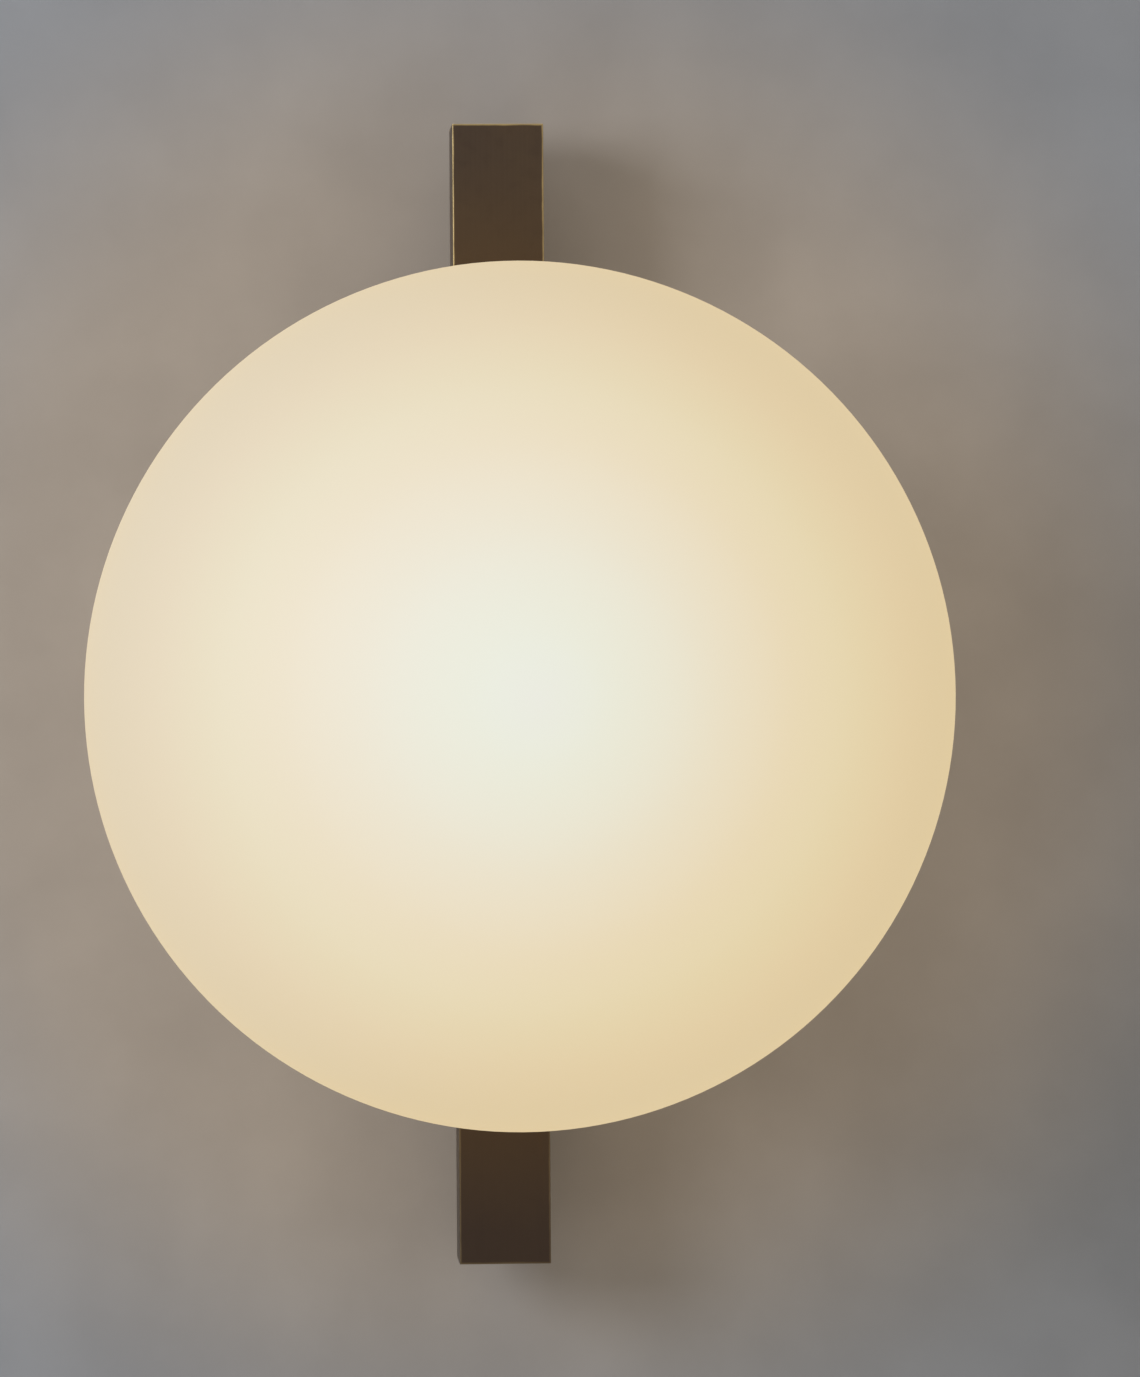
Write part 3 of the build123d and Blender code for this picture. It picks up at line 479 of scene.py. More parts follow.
def earth_insulation():
    """Green insulation with a yellow stripe along each side, told apart by the way the surface faces."""
    material, tree = new_material("earth_insulation")
    facing = add(tree, "ShaderNodeNewGeometry", output="Normal")
    across = add(tree, "ShaderNodeSeparateXYZ", {"Vector": facing}, output="Y")
    green_to_yellow = [(0.0, "#2E7D3A"), (0.12, "#E2C92E")]
    colour = add(tree, "ShaderNodeValToRGB", {"Fac": across}, stops=green_to_yellow)
    speckle = blotches(tree, spacing=0.5)
    bump = add(tree, "ShaderNodeBump", {"Height": speckle, "Distance": 0.01 * mm, "Strength": 0.5})
    inputs = {"Base Color": colour, "Roughness": 0.42, "Normal": bump}
    shader = add(tree, "ShaderNodeBsdfPrincipled", inputs)
    add(tree, "ShaderNodeOutputMaterial", {"Surface": shader})
    return material


# %% [markdown]
# ## Opal glass, lit from inside
# The globe is clear glass over a thin white layer, etched to a satin surface. A lamp inside makes the
# whole wall of the glass glow: nearly white in front of the lamp, and warmer towards the rim, where
# the light crosses more glass. A true light inside would need millions of rays to look smooth. So the
# glow is emission, and its colour follows the angle from the front pole of the glass. It is bound to
# the glass and not to the camera, so it stays where it is from any side.

# %% Opal glass
globe_low, globe_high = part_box("globe_glass")
globe_radius = globe_high.x
globe_centre = Vector((0, globe_low.y + globe_radius, 0))
half_circle = 180
# Angle from the front in degrees, and the colour of the glow there.
glow_stops = [
    (0, "#E1D9C1"),
    (8, "#E1D9BC"),
    (20, "#E2D3B0"),
    (32, "#E2CC9F"),
    (44, "#DFC894"),
    (56, "#DCC18B"),
    (73, "#D9BE88"),
    (110, "#DFC38C"),
    (160, "#DFC38C"),
]
print("the globe is", round(2 * globe_radius / mm), "mm across")


def opal_glass():
    """Satin white body with a warm glow that fades from the front to the neck."""
    material, tree = new_material("opal_glass")
    place = add(tree, "ShaderNodeTexCoord", output="Object")
    inputs = {"Vector": place, "Vector_001": globe_centre}
    spoke = add(tree, "ShaderNodeVectorMath", inputs, operation="SUBTRACT")
    spoke = add(tree, "ShaderNodeVectorMath", {"Vector": spoke}, operation="NORMALIZE")
    inputs = {"Vector": spoke, "Vector_001": (0, -1, 0)}
    ahead = add(tree, "ShaderNodeVectorMath", inputs, output="Value", operation="DOT_PRODUCT")
    angle = add(tree, "ShaderNodeMath", {"Value": ahead}, operation="ARCCOSINE")
    share = add(tree, "ShaderNodeMath", {"Value": angle, "Value_001": math.pi}, operation="DIVIDE")
    stops = [(degrees / half_circle, colour) for degrees, colour in glow_stops]
    glow = add(tree, "ShaderNodeValToRGB", {"Fac": share}, stops=stops)
    glow.node.color_ramp.interpolation = "CARDINAL"
    inputs = {"Base Color": "#4B677E", "Roughness": 0.65, "Specular IOR Level": 0.3}
    inputs |= {"Emission Color": glow, "Emission Strength": 1.0}
    shader = add(tree, "ShaderNodeBsdfPrincipled", inputs)
    add(tree, "ShaderNodeOutputMaterial", {"Surface": shader})
    return material


# %% [markdown]
# ## A finish for each piece
# Each material is named for what the real piece is made of, and the comment above it says how it was
# made and what that gives the eye. A list then tells which pieces are made of it. A solid that is
# right as it is gets its finish in its own material slot, and needs nothing more.

# %% Metals of the pieces
# Brass turned on a lathe has a warm satin gloss. Its rings are 0.1 mm apart, and drawn coarser to show.
turned_brass = metal("turned_brass", "#D9B66E", "#B48E49", 0.3, lathe_rings, spacing=0.5, depth=0.02)
# Stamped brass strip is brighter, with faint lines along the strip.
rolled_brass = metal("rolled_brass", "#DDBB74", "#C09A56", 0.26, rolling_lines, spacing=0.6, depth=0.01)
# Zinc on steel is a cool dull grey, and its crystals are about a millimetre across.
zinc_plated_steel = metal(
    "zinc_plated_steel", "#C9CCCB", "#A9ADAF", 0.34, crystals, spacing=0.9, depth=0.01
)
# Nickel on thin rolled metal is a pale, slightly warm mirror.
nickel_plate = metal("nickel_plate", "#CFCBC2", "#B7B2A8", 0.22, rolling_lines, spacing=0.7, depth=0.01)
print("bare metals:", turned_brass.name, rolled_brass.name, zinc_plated_steel.name, nickel_plate.name)

# %% Plastics, ceramic and rubber of the pieces
# Phenolic pressed in a polished hot mould is nearly black and half glossy.
black_phenolic = moulded("black_phenolic", "#262321", "#1B1918", 0.38, grain=0.5, depth=0.01)
# Steatite fired without glaze is cream and dry, with the grain of pressed powder.
steatite = moulded("steatite", "#E7DFCB", "#DBD1BA", 0.55, grain=0.4, depth=0.02)
# Moulded silicone is milky and dull, and light enters it a little.
silicone = moulded("silicone", "#C9C6BE", "#BAB7AF", 0.5, grain=0.6, depth=0.01, soft=0.3)
# Moulded polyamide is a warm white, with a waxy gloss.
white_polyamide = moulded("white_polyamide", "#ECEAE2", "#E2DFD5", 0.4, grain=0.5, depth=0.01, soft=0.2)
# The body of the lamp is moulded in white polycarbonate, smooth and half glossy.
lamp_plastic = moulded("lamp_polycarbonate", "#EDEBE6", "#E9E7E2", 0.42, grain=0.5, depth=0.01, soft=0.1)
# The dome of the lamp is frosted, and glows as the globe does.
frosted_dome = moulded(
    "frosted_polycarbonate", "#8F8C82", "#89867B", 0.5, grain=0.6, depth=0.005, soft=0.2, glow="#DCC9A0"
)
# Extruded insulation is smooth and even, brown for live and blue for neutral.
brown_insulation = moulded("brown_insulation", "#6A3D22", "#5D351E", 0.4, grain=0.5, depth=0.01)
blue_insulation = moulded("blue_insulation", "#2C63A8", "#27588F", 0.4, grain=0.5, depth=0.01)

# %% Which piece is made of what
finishes = {
    "bar_tube top_end_cap bottom_end_cap": aged_brass_brushed(),
    "canopy side_screws": aged_brass_spun(),
    "gallery retaining_ring slip_washer": turned_brass,
    "locating_pin screw_shell contact_foot contact_rivet contact_tongue holder_terminals "
    "terminal_sleeves earth_tag": rolled_brass,
    "wall_plate earth_screw rivet_nuts bar_screws spacer_sleeve nipple rear_washer rear_nut "
    "toothed_washer lock_nut holder_screws terminal_screws block_screw": zinc_plated_steel,
    "lamp_cap lamp_tip_contact": nickel_plate,
    "holder_cap holder_skirt lamp_insulator": black_phenolic,
    "holder_insert": steatite,
    "rear_gasket": silicone,
    "terminal_block wire_bush": white_polyamide,
    "live_lead": brown_insulation,
    "neutral_lead": blue_insulation,
    "earth_lead": earth_insulation(),
    "lamp_body": lamp_plastic,
    "lamp_dome": frosted_dome,
    "globe_glass globe_back globe_shoulder": opal_glass(),
}
finish_of = {name: finish for names, finish in finishes.items() for name in names.split()}
for name, finish in finish_of.items():
    nodes[name].material_slots[0].material = finish
print("finishes:", len(finishes), "pieces without one:", sorted(set(nodes) - set(finish_of)))

# %% [markdown]
# ## Helpers for modelling
# Nearly everything behind the globe was made on a lathe, so it is drawn the same way: half an outline,
# spun about the light's axis. The axis runs out from the wall, along -Y. A corner of an outline is a
# radius and a distance from the wall, in millimetres, and may have a rounding. Bevelling the corners
# of the outline before it is spun costs almost nothing and gives every turned edge its highlight. The
# outer sizes are read from the frame, so that a piece modelled here fills the place of the solid it
# stands for.

# %% Sizes from the frame
weld = 0.002 * mm
axis_out = Vector((0, -1, 0))
thread_gap = 0.06
fit_gap = 0.1
moving_gap = 0.3
broken_edge = 0.3


def extent(node):
    """Radius of a turned piece, and how far its back and its front are from the wall, in millimetres."""
    low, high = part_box(node)
    return high.x / mm, -high.y / mm, -low.y / mm


gallery_radius, gallery_back, gallery_front = extent("gallery")
gallery_floor, lip_back = extent("rear_gasket")[1:]
ring_radius, ring_back, ring_front = extent("retaining_ring")
ring_seat = extent("slip_washer")[2]
nipple_radius, nipple_back, nipple_front = extent("nipple")
print("the lip of the glass is", round(lip_back, 1), "mm from the wall")

# %% Outlines
corner_steps = 3


def rounded(mesh, point, width, steps=corner_steps):
    """Rounds the corner of an outline at one of its points."""
    bmesh.ops.bevel(
        mesh, geom=[point], offset=width * mm, offset_type="OFFSET", segments=steps,
        profile=0.5, affect="VERTICES", clamp_overlap=True, material=-1,
    )


def outline_of(mesh, corners, closed, start=None, end=None):
    """Draws an outline from corners of (radius, distance from the wall, rounding) in millimetres."""
    points = [mesh.verts.new((c[0] * mm, -c[1] * mm, 0)) for c in corners]
    chain = [p for p in [start, *points, end] if p]
    for first, second in zip(chain, chain[1:]):
        mesh.edges.new((first, second))
    if closed:
        mesh.edges.new((chain[-1], chain[0]))
    for point, corner in zip(points, corners):
        if len(corner) > 2:
            rounded(mesh, point, corner[2])


# %% Spinning an outline
turned_columns = 96


def spun(mesh, columns):
    """Spins all that a mesh holds once about the light's axis and closes the seam."""
    bmesh.ops.spin(
        mesh, geom=mesh.verts[:] + mesh.edges[:], cent=(0, 0, 0), axis=axis_out,
        angle=math.tau, steps=columns, use_merge=True,
    )
    bmesh.ops.remove_doubles(mesh, verts=mesh.verts, dist=weld)
    bmesh.ops.recalc_face_normals(mesh, faces=mesh.faces)


def turned(corners, columns=turned_columns, fine=()):
    """A turned piece. Walls at the fine radii get close rows, for a thread to be raised on them."""
    # An outline that starts on the axis also ends there, and the spin closes it.
    mesh = bmesh.new()
    outline_of(mesh, corners, closed=corners[0][0] > 0)
    for radius, rows in fine:
        walls = [e for e in mesh.edges if all(abs(v.co.x - radius * mm) < weld for v in e.verts)]
        for wall in walls:
            bmesh.ops.subdivide_edges(mesh, edges=[wall], cuts=round(wall.calc_length() / mm * rows))
    spun(mesh, columns)
    return mesh


# %% Finished pieces
smooth_below = 32


def placed(name, mesh, stands_for, sharp=smooth_below):
    """Makes a finished piece of a mesh. It rides, and is painted, like the solids it stands for."""
    first = stands_for.split()[0]
    data = bpy.data.meshes.new(name)
    mesh.to_mesh(data)
    mesh.free()
    data.materials.append(finish_of[first])
    data.shade_smooth()
    data.set_sharp_from_angle(angle=math.radians(sharp))
    made = bpy.data.objects.new(name, data)
    bpy.context.scene.collection.objects.link(made)
    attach(made, nodes[first]["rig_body"])
    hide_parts(*stands_for.split())
    print(name, "faces:", len(data.polygons))
    return made


# %% [markdown]
# ## Globe
# The globe is blown into a mould, cut off at the neck, and its lip is fire polished, so nothing on it
# is sharp. A sphere primitive would have the wrong poles and no wall. Here a single vertex at the
# front pole is spun about the middle of the globe to draw the arc, the neck and the lip follow as
# corners, and a second arc makes the inside. Spinning that outline gives a wall of real
# thickness with the bore of the neck open.

# %% An arc from the front pole
def arc_from_pole(mesh, centre, radius, end_radius, steps):
    """An arc from the front pole of a ball past its widest place: one vertex, spun about the middle."""
    pole = mesh.verts.new((0, -(centre + radius) * mm, 0))
    angle = math.pi - math.asin(end_radius / radius)
    middle = axis_out * centre * mm
    arc = bmesh.ops.spin(mesh, geom=[pole], cent=middle, axis=(0, 0, 1), angle=angle, steps=steps)
    return arc["geom_last"][0]


# %% Globe
glass_wall = 2.5
neck_radius = 38.0
neck_wall = 3.0
neck_rounding = 2.2
neck_steps = 6
bore_rounding = 1.5
bore_steps = 4
lip_width = 4.0
lip_thickness = 4.5
lip_rounding = 1.2
globe_rows = 90
globe_columns = 180
neck_bore_radius = neck_radius - neck_wall
lip_radius = neck_radius + lip_width
lip_front = lip_back + lip_thickness


def globe_shape():
    """The wall of the globe with its neck and lip."""
    mesh = bmesh.new()
    outer = globe_radius / mm
    centre = -globe_centre.y / mm
    outer_end = arc_from_pole(mesh, centre, outer, neck_radius, globe_rows)
    inner_end = arc_from_pole(mesh, centre, outer - glass_wall, neck_bore_radius, globe_rows)
    neck_and_lip = [
        (neck_radius, lip_front),
        (lip_radius, lip_front, lip_rounding),
        (lip_radius, lip_back, lip_rounding),
        (neck_bore_radius, lip_back, lip_rounding),
    ]
    outline_of(mesh, neck_and_lip, closed=False, start=outer_end, end=inner_end)
    rounded(mesh, outer_end, neck_rounding, neck_steps)
    rounded(mesh, inner_end, bore_rounding, bore_steps)
    spun(mesh, globe_columns)
    return mesh


placed("opal_globe", globe_shape(), "globe_glass globe_back globe_shoulder")

# %% [markdown]
# ## Screw threads and flutes
# A thread could be built by winding a profile along a helix, but then its ends have to be cut and
# merged by hand. Here the wall is turned first, with close rows, and each of its vertices is then
# moved out by a wave that climbs one pitch for each turn. The wave dies away at both ends, as a real
# thread runs out. The flutes of the ring are pressed in the same way: a vertex that lies inside one
# of the round cutters moves in to the cutter's edge.

# %% Screw threads
def way_out(vert):
    """Direction from the light's axis to a vertex, and its distance from the axis."""
    out = Vector((vert.co.x, 0, vert.co.z))
    return out.normalized(), out.length


def threaded(mesh, radius, low, high, pitch, depth, start=0.0):
    """Raises a right-hand thread on the wall at a radius. A negative depth cuts it inwards."""
    for vert in mesh.verts:
        out, reach = way_out(vert)
        if abs(reach - radius * mm) > weld:
            continue
        height = -vert.co.y / mm
        # The wave is whole from half a pitch inside each end.
        fade = min(1, max(0, 2 * min(height - low, high - height) / pitch))
        turns = height / pitch - math.atan2(out.z, out.x) / math.tau + start
        wave = (1 - math.cos(math.tau * turns)) / 2
        vert.co += out * depth * mm * wave * fade


# %% Flutes
def fluted(mesh, radius, cutter, depth, count, low, high):
    """Presses round flutes of a cutter's radius and a depth into a turned wall, between two heights."""
    # The cutters stand on a circle outside the wall, so that each reaches in by its depth.
    circle = radius + cutter - depth
    for vert in mesh.verts:
        out, reach = way_out(vert)
        flute = math.atan2(out.z, out.x) / math.tau * count
        aside = (flute - round(flute)) / count * math.tau
        across = circle * math.sin(aside)
        if abs(across) < cutter and low - weld / mm <= -vert.co.y / mm <= high + weld / mm:
            floor = (circle * math.cos(aside) - math.sqrt(cutter**2 - across**2)) * mm
            vert.co += out * min(0, floor - reach)


# %% [markdown]
# ## Gallery
# The gallery is a brass cup, turned from bar, that carries the thread for the ring. Its floor has vents
# and the hole of the locating pin. Holes could be cut into the faces of the floor by hand, but the
# Boolean modifier does it from a drill of cylinders, and the result of the modifier goes straight
# back into a bmesh.

# %% Outline of the gallery
thread_pitch = 1.5
thread_turns = 3
thread_depth = 0.42
thread_rows = 8
gallery_foot = 1.5
gallery_relief = 0.6
gallery_rim_relief = 0.5
gallery_corner = 0.5
cup_gap = 0.5
cup_radius = lip_radius + cup_gap
thread_back = gallery_back + gallery_foot
thread_front = thread_back + thread_pitch * thread_turns
gallery_outline = [
    (nipple_radius + fit_gap, gallery_back),
    (gallery_radius - gallery_relief, gallery_back, broken_edge),
    (gallery_radius - gallery_relief, thread_back),
    (gallery_radius, thread_back),
    (gallery_radius, thread_front),
    (gallery_radius - gallery_rim_relief, thread_front),
    (gallery_radius - gallery_rim_relief, gallery_front, broken_edge),
    (cup_radius, gallery_front, broken_edge),
    (cup_radius, gallery_floor, gallery_corner),
    (nipple_radius + fit_gap, gallery_floor),
]
print("gallery thread from", round(thread_back, 1), "to", round(thread_front, 1), "mm from the wall")

# %% Drilling
drill_sides = 32
# A drill is far longer than any piece, so that its ends stay outside.
drill_length = 4.0


def drills(holes):
    """One mesh of long cylinders along the axis: each hole is (x, z, radius) in millimetres."""
    mesh = bmesh.new()
    for x, z, radius in holes:
        place = Matrix.Translation((x * mm, 0, z * mm)) @ facing_out
        bmesh.ops.create_cone(
            mesh, cap_ends=True, segments=drill_sides, radius1=radius * mm, radius2=radius * mm,
            depth=drill_length, matrix=place,
        )
    return mesh


def loose_object(name, mesh):
    """An object for a moment's work, made from a bmesh."""
    data = bpy.data.meshes.new(name)
    mesh.to_mesh(data)
    mesh.free()
    made = bpy.data.objects.new(name, data)
    bpy.context.scene.collection.objects.link(made)
    return made


def bored(mesh, holes):
    """Bores round holes along the axis."""
    part = loose_object("part", mesh)
    drill = loose_object("drill", drills(holes))
    cut = part.modifiers.new("cut", "BOOLEAN")
    cut.object = drill
    cut.operation = "DIFFERENCE"
    cut.solver = "EXACT"
    result = bmesh.new()
    result.from_object(part, bpy.context.evaluated_depsgraph_get())
    for used in (part, drill):
        bpy.data.objects.remove(used)
    return result


# %% Gallery
gallery_columns = 180
vent_radius = 3.0
vent_circle = 31.0
vent_spread = 36
brazed_gap = 0.05
pin_low, pin_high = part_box("locating_pin")
pin_hole = (0, (pin_low.z + pin_high.z) / 2 / mm, pin_high.x / mm + brazed_gap)
vent_places = (-vent_spread, 0, vent_spread)
vent_angles = [math.radians(side + place) for side in (0, half_circle) for place in vent_places]
vents = [(vent_circle * math.cos(a), vent_circle * math.sin(a), vent_radius) for a in vent_angles]

gallery = turned(gallery_outline, gallery_columns, fine=[(gallery_radius, thread_rows)])
threaded(gallery, gallery_radius, thread_back, thread_front, thread_pitch, -thread_depth)
placed("threaded_gallery", bored(gallery, [*vents, pin_hole]), "gallery")

# %% [markdown]
# ## Retaining ring
# The ring screws over the gallery and holds the glass by its lip. It is what a hand turns, so it is
# fluted. Its outline is spun into nine columns for each flute, which puts a column close to each
# of the flute's two edges, and the columns between them give the flute its round floor.

# %% Retaining ring
ring_bore = gallery_radius + thread_gap
ring_relief = 0.44
ring_mouth = lip_radius + moving_gap
ring_chamfer = 0.8
ring_edge = 0.15
mouth_edge = 0.4
flute_count = 72
flute_cutter = 1.2
flute_depth = 0.5
flute_columns = 9
ring_outline = [
    (ring_bore, ring_back),
    (ring_radius - ring_chamfer, ring_back, ring_edge),
    (ring_radius, ring_back + ring_chamfer, ring_edge),
    (ring_radius, ring_front - ring_chamfer, ring_edge),
    (ring_radius - ring_chamfer, ring_front, ring_edge),
    (ring_mouth, ring_front, mouth_edge),
    (ring_mouth, ring_seat, broken_edge),
    (ring_bore + ring_relief, ring_seat),
    (ring_bore + ring_relief, thread_front),
    (ring_bore, thread_front),
]
ring = turned(ring_outline, flute_columns * flute_count, fine=[(ring_bore, thread_rows)])
threaded(ring, ring_bore, thread_back, thread_front, thread_pitch, thread_depth)
fluted(ring, ring_radius, flute_cutter, flute_depth, flute_count, ring_back, ring_front)
placed("fluted_ring", ring, "retaining_ring")

# %% [markdown]
# ## Lampholder
# The lampholder's cap and skirt are pressed phenolic and screw together. The skirt has grip flutes for
# the fingers, which are pressed in as the ring's are. The screw shell inside is thin brass, rolled
# with the lamp thread, so the same wave moves its outer and its inner wall.

# %% Cap of the lampholder
cap_radius, cap_back, cap_front = extent("holder_cap")
skirt_radius, skirt_back, skirt_front = extent("holder_skirt")
insert_radius, insert_back, insert_front = extent("holder_insert")
boss_radius = 8.5
boss_height = 4.0
boss_corner = 0.5
dome_foot_radius = 17.3
dome_foot_rounding = 3.0
holder_rounding = 1.0
holder_floor_thickness = 1.8
well_radius = 15.5
skirt_thread_radius = 19.2
boss_front = cap_back + boss_height
holder_floor = boss_front + holder_floor_thickness
holder_ledge = insert_back - fit_gap
holder_cap_outline = [
    (nipple_radius + thread_gap, cap_back),
    (boss_radius, cap_back, mouth_edge),
    (boss_radius, boss_front, boss_corner),
    (dome_foot_radius, boss_front, dome_foot_rounding),
    (cap_radius, holder_ledge, holder_rounding),
    (cap_radius, cap_front, broken_edge),
    (skirt_thread_radius + thread_gap, cap_front),
    (skirt_thread_radius + thread_gap, holder_ledge),
    (well_radius, holder_ledge),
    (well_radius, holder_floor),
    (nipple_radius + thread_gap, holder_floor),
]
placed("pressed_cap", turned(holder_cap_outline), "holder_cap")

# %% Skirt of the lampholder
collar_radius = 14.6
grip_start = 3.8
grip_end = 6.5
grip_low = cap_front + grip_start
grip_high = skirt_front - grip_end
grip_count = 40
grip_cutter = 1.1
grip_depth = 0.6
grip_columns = 10
holder_skirt_outline = [
    (insert_radius + fit_gap, skirt_back),
    (skirt_thread_radius, skirt_back),
    (skirt_thread_radius, cap_front),
    (skirt_radius, cap_front, broken_edge),
    (skirt_radius, grip_low),
    (skirt_radius, grip_high),
    (skirt_radius, skirt_front, holder_rounding),
    (collar_radius, skirt_front, holder_rounding),
    (collar_radius, insert_front + fit_gap),
    (insert_radius + fit_gap, insert_front + fit_gap),
]
skirt = turned(holder_skirt_outline, grip_columns * grip_count)
fluted(skirt, skirt_radius, grip_cutter, grip_depth, grip_count, grip_low, grip_high)
placed("fluted_skirt", skirt, "holder_skirt")

# %% Screw shell
shell_radius, shell_back, shell_front = extent("screw_shell")
lamp_pitch = 3.62
lamp_thread_depth = 0.95
lamp_thread_rows = 4
lamp_thread_columns = 72
shell_wall = 0.35
shell_flange = 0.5
shell_hole = 8.5
shell_corner = 0.4
shell_inner_corner = 0.2
shell_thread_start = 0.9
shell_thread_end = 0.4
shell_inner = shell_radius - shell_wall
shell_outline = [
    (shell_hole, shell_back),
    (shell_radius, shell_back, shell_corner),
    (shell_radius, shell_front),
    (shell_inner, shell_front),
    (shell_inner, shell_back + shell_flange, shell_inner_corner),
    (shell_hole, shell_back + shell_flange),
]
shell_walls = (shell_radius, shell_inner)
fine = [(wall, lamp_thread_rows) for wall in shell_walls]
shell = turned(shell_outline, lamp_thread_columns, fine)
for wall in shell_walls:
    ends = (shell_back + shell_thread_start, shell_front - shell_thread_end)
    threaded(shell, wall, *ends, lamp_pitch, -lamp_thread_depth)
placed("rolled_shell", shell, "screw_shell")

# %% [markdown]
# ## Lamp
# The lamp's cap carries the shell's thread a little smaller, 3.62 millimetres a turn. Both waves are
# measured from the wall and from the same direction, so the two threads mesh, and they stay meshed
# as the lamp turns out of the shell. Cap, insulator, tip, body and dome are spun one by one, because
# they are pieces of different materials.

# %% Cap of the lamp
lamp_cap_radius, lamp_cap_back, lamp_cap_front = extent("lamp_cap")
tip_radius, tip_back, tip_front = extent("lamp_tip_contact")
cap_root = 12.25
cap_start_radius = 11.2
cap_chamfer = 1.1
cap_rim = 0.4
cap_rim_rise = 0.5
cap_thread_start = 1.9
cap_thread_end = 1.1
cap_thread = (lamp_cap_back + cap_thread_start, lamp_cap_front - cap_thread_end)
half_turn = 0.5
lamp_cap_outline = [
    (0, lamp_cap_back),
    (cap_start_radius, lamp_cap_back, broken_edge),
    (cap_root, lamp_cap_back + cap_chamfer),
    (cap_root, lamp_cap_front - cap_rim - cap_rim_rise),
    (lamp_cap_radius, lamp_cap_front - cap_rim),
    (lamp_cap_radius, lamp_cap_front),
    (0, lamp_cap_front),
]
cap = turned(lamp_cap_outline, lamp_thread_columns, fine=[(cap_root, lamp_thread_rows)])
threaded(cap, cap_root, *cap_thread, lamp_pitch, lamp_thread_depth, start=half_turn)
placed("threaded_cap", cap, "lamp_cap")

# %% Insulator and tip of the lamp
insulator_step = 1.5
insulator_hollow = 1.0
insulator_rim_radius = 10.4
insulator_rim_drop = 0.9
insulator_rim_rounding = 0.5
insulator_foot_radius = 11.0
insulator_outline = [
    (0, tip_front),
    (tip_radius, tip_front),
    (tip_radius + insulator_step, tip_front + insulator_step, insulator_hollow),
    (insulator_rim_radius, lamp_cap_back - insulator_rim_drop, insulator_rim_rounding),
    (insulator_foot_radius, lamp_cap_back),
    (0, lamp_cap_back),
]
placed("moulded_insulator", turned(insulator_outline), "lamp_insulator")

solder_flat = 3.2
solder_rounding = 0.9
tip_outline = [
    (0, tip_back),
    (solder_flat, tip_back, solder_rounding),
    (tip_radius, tip_front),
    (0, tip_front),
]
placed("solder_tip", turned(tip_outline), "lamp_tip_contact")

# %% Body of the lamp
body_back = extent("lamp_body")[1]
dome_back, dome_front = extent("lamp_dome")[1:]
body_collar_radius = 14.2
body_collar_height = 4.5
body_groove_radius = 13.7
body_groove_start = 4.8
body_groove_end = 5.4
body_groove_rounding = 0.1
body_shoulder_radius = 14.6
body_shoulder = 5.8
body_waist_radius = 16.5
body_waist = 10.5
body_waist_rounding = 4.0
body_mouth_radius = 28.9
body_plug_radius = 25.8
body_plug_height = 1.5
lamp_body_outline = [
    (0, body_back),
    (body_collar_radius, body_back, mouth_edge),
    (body_collar_radius, body_back + body_collar_height, mouth_edge),
    (body_groove_radius, body_back + body_groove_start, body_groove_rounding),
    (body_groove_radius, body_back + body_groove_end, body_groove_rounding),
    (body_shoulder_radius, body_back + body_shoulder, broken_edge),
    (body_waist_radius, body_back + body_waist, body_waist_rounding),
    (body_mouth_radius, dome_back, broken_edge),
    (body_plug_radius, dome_back),
    (body_plug_radius, dome_back + body_plug_height),
    (0, dome_back + body_plug_height),
]
placed("moulded_body", turned(lamp_body_outline), "lamp_body")

# %% Dome of the lamp
dome_radius = 30.0
dome_wall = 1.5
dome_rows = 40
dome_centre = dome_front - dome_radius
seam_drop = dome_centre - dome_back

dome = bmesh.new()
seam_ends = [
    arc_from_pole(dome, dome_centre, radius, math.sqrt(radius**2 - seam_drop**2), dome_rows)
    for radius in (dome_radius, dome_radius - dome_wall)
]
outline_of(dome, [], closed=False, start=seam_ends[0], end=seam_ends[1])
spun(dome, globe_columns)
placed("diffuser_dome", dome, "lamp_dome")

# %% [markdown]
# ## Nipple
# The threaded nipple runs through the middle of the light and clamps gallery, bar and canopy. It is
# threaded rod with a bore for the wires, so it is spun and threaded from end to end.

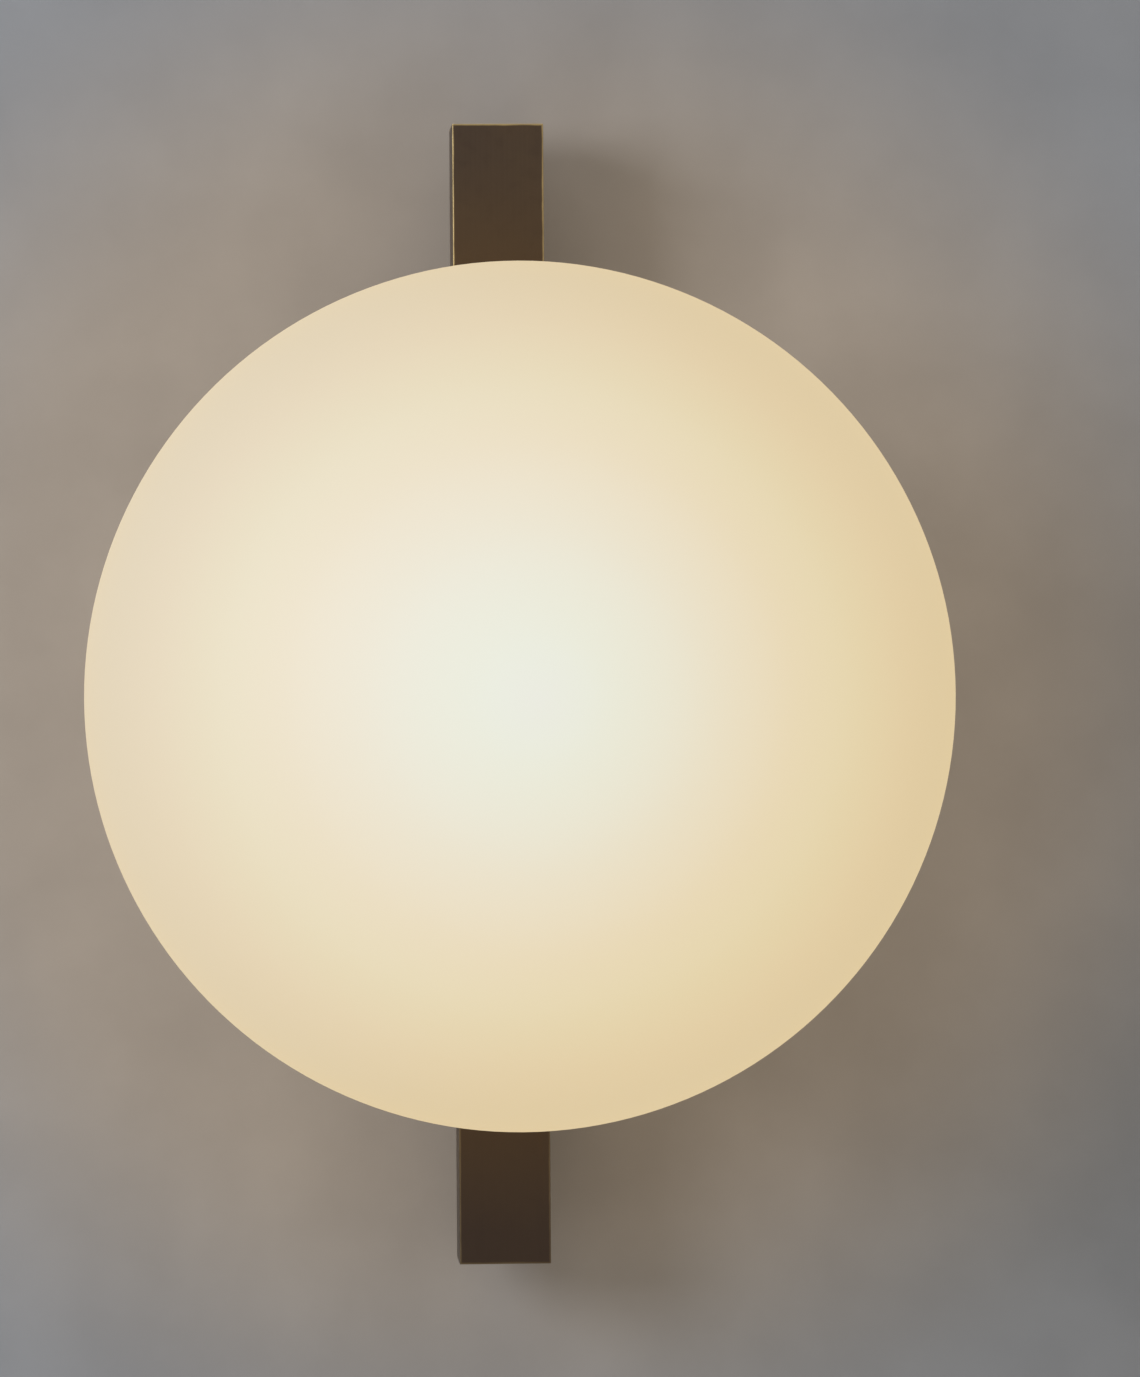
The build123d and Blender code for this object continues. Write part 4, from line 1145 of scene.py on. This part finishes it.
# %% Nipple
nipple_bore = 3.9
nipple_pitch = 1.0
nipple_depth = 0.45
nipple_rows = 8
nipple_columns = 48
nipple_runout = 0.5
nipple_corner = 0.2
nipple_outline = [
    (nipple_bore, nipple_back, nipple_corner),
    (nipple_radius, nipple_back, broken_edge),
    (nipple_radius, nipple_front, broken_edge),
    (nipple_bore, nipple_front, nipple_corner),
]
nipple = turned(nipple_outline, nipple_columns, fine=[(nipple_radius, nipple_rows)])
ends = (nipple_back + nipple_runout, nipple_front - nipple_runout)
threaded(nipple, nipple_radius, *ends, nipple_pitch, -nipple_depth)
placed("threaded_nipple", nipple, "nipple")

# %% [markdown]
# ## Plates, bar and small parts
# The stamped, sawn and bent parts already have the right shape, but a solid's edges are perfectly
# sharp, and real ones never are. A Bevel modifier would trip over a solid's loose triangles. So a copy
# of each is merged, gets its flat faces back and then a small bevel, whose highlight is what
# shows the edge.

# %% Softened edges
flat_angle = 0.8
edge_angle = 30
bevel_smooth_below = 25
bevel_steps = 2
edge_widths = {
    0.3: "bar_tube canopy wall_plate terminal_block",
    0.2: "top_end_cap bottom_end_cap side_screws bar_screws earth_screw block_screw rear_nut lock_nut",
    0.15: "slip_washer rear_washer earth_tag holder_terminals holder_screws terminal_sleeves",
    0.1: "toothed_washer terminal_screws contact_foot contact_tongue",
}


def softened(node, width):
    """A merged copy of a solid, with its flat faces made whole and its sharp edges rounded."""
    mesh = bmesh.new()
    mesh.from_mesh(nodes[node].data)
    bmesh.ops.remove_doubles(mesh, verts=mesh.verts, dist=weld)
    bmesh.ops.dissolve_limit(
        mesh, angle_limit=math.radians(flat_angle), verts=mesh.verts, edges=mesh.edges, delimit=set()
    )
    edges = [e for e in mesh.edges if e.is_manifold and e.calc_face_angle() > math.radians(edge_angle)]
    bmesh.ops.bevel(
        mesh, geom=edges, offset=width * mm, offset_type="OFFSET", segments=bevel_steps,
        profile=0.5, affect="EDGES", clamp_overlap=True, material=-1,
    )
    return mesh


for width, names in edge_widths.items():
    for name in names.split():
        placed(name + "_softened", softened(name, width), name, sharp=bevel_smooth_below)
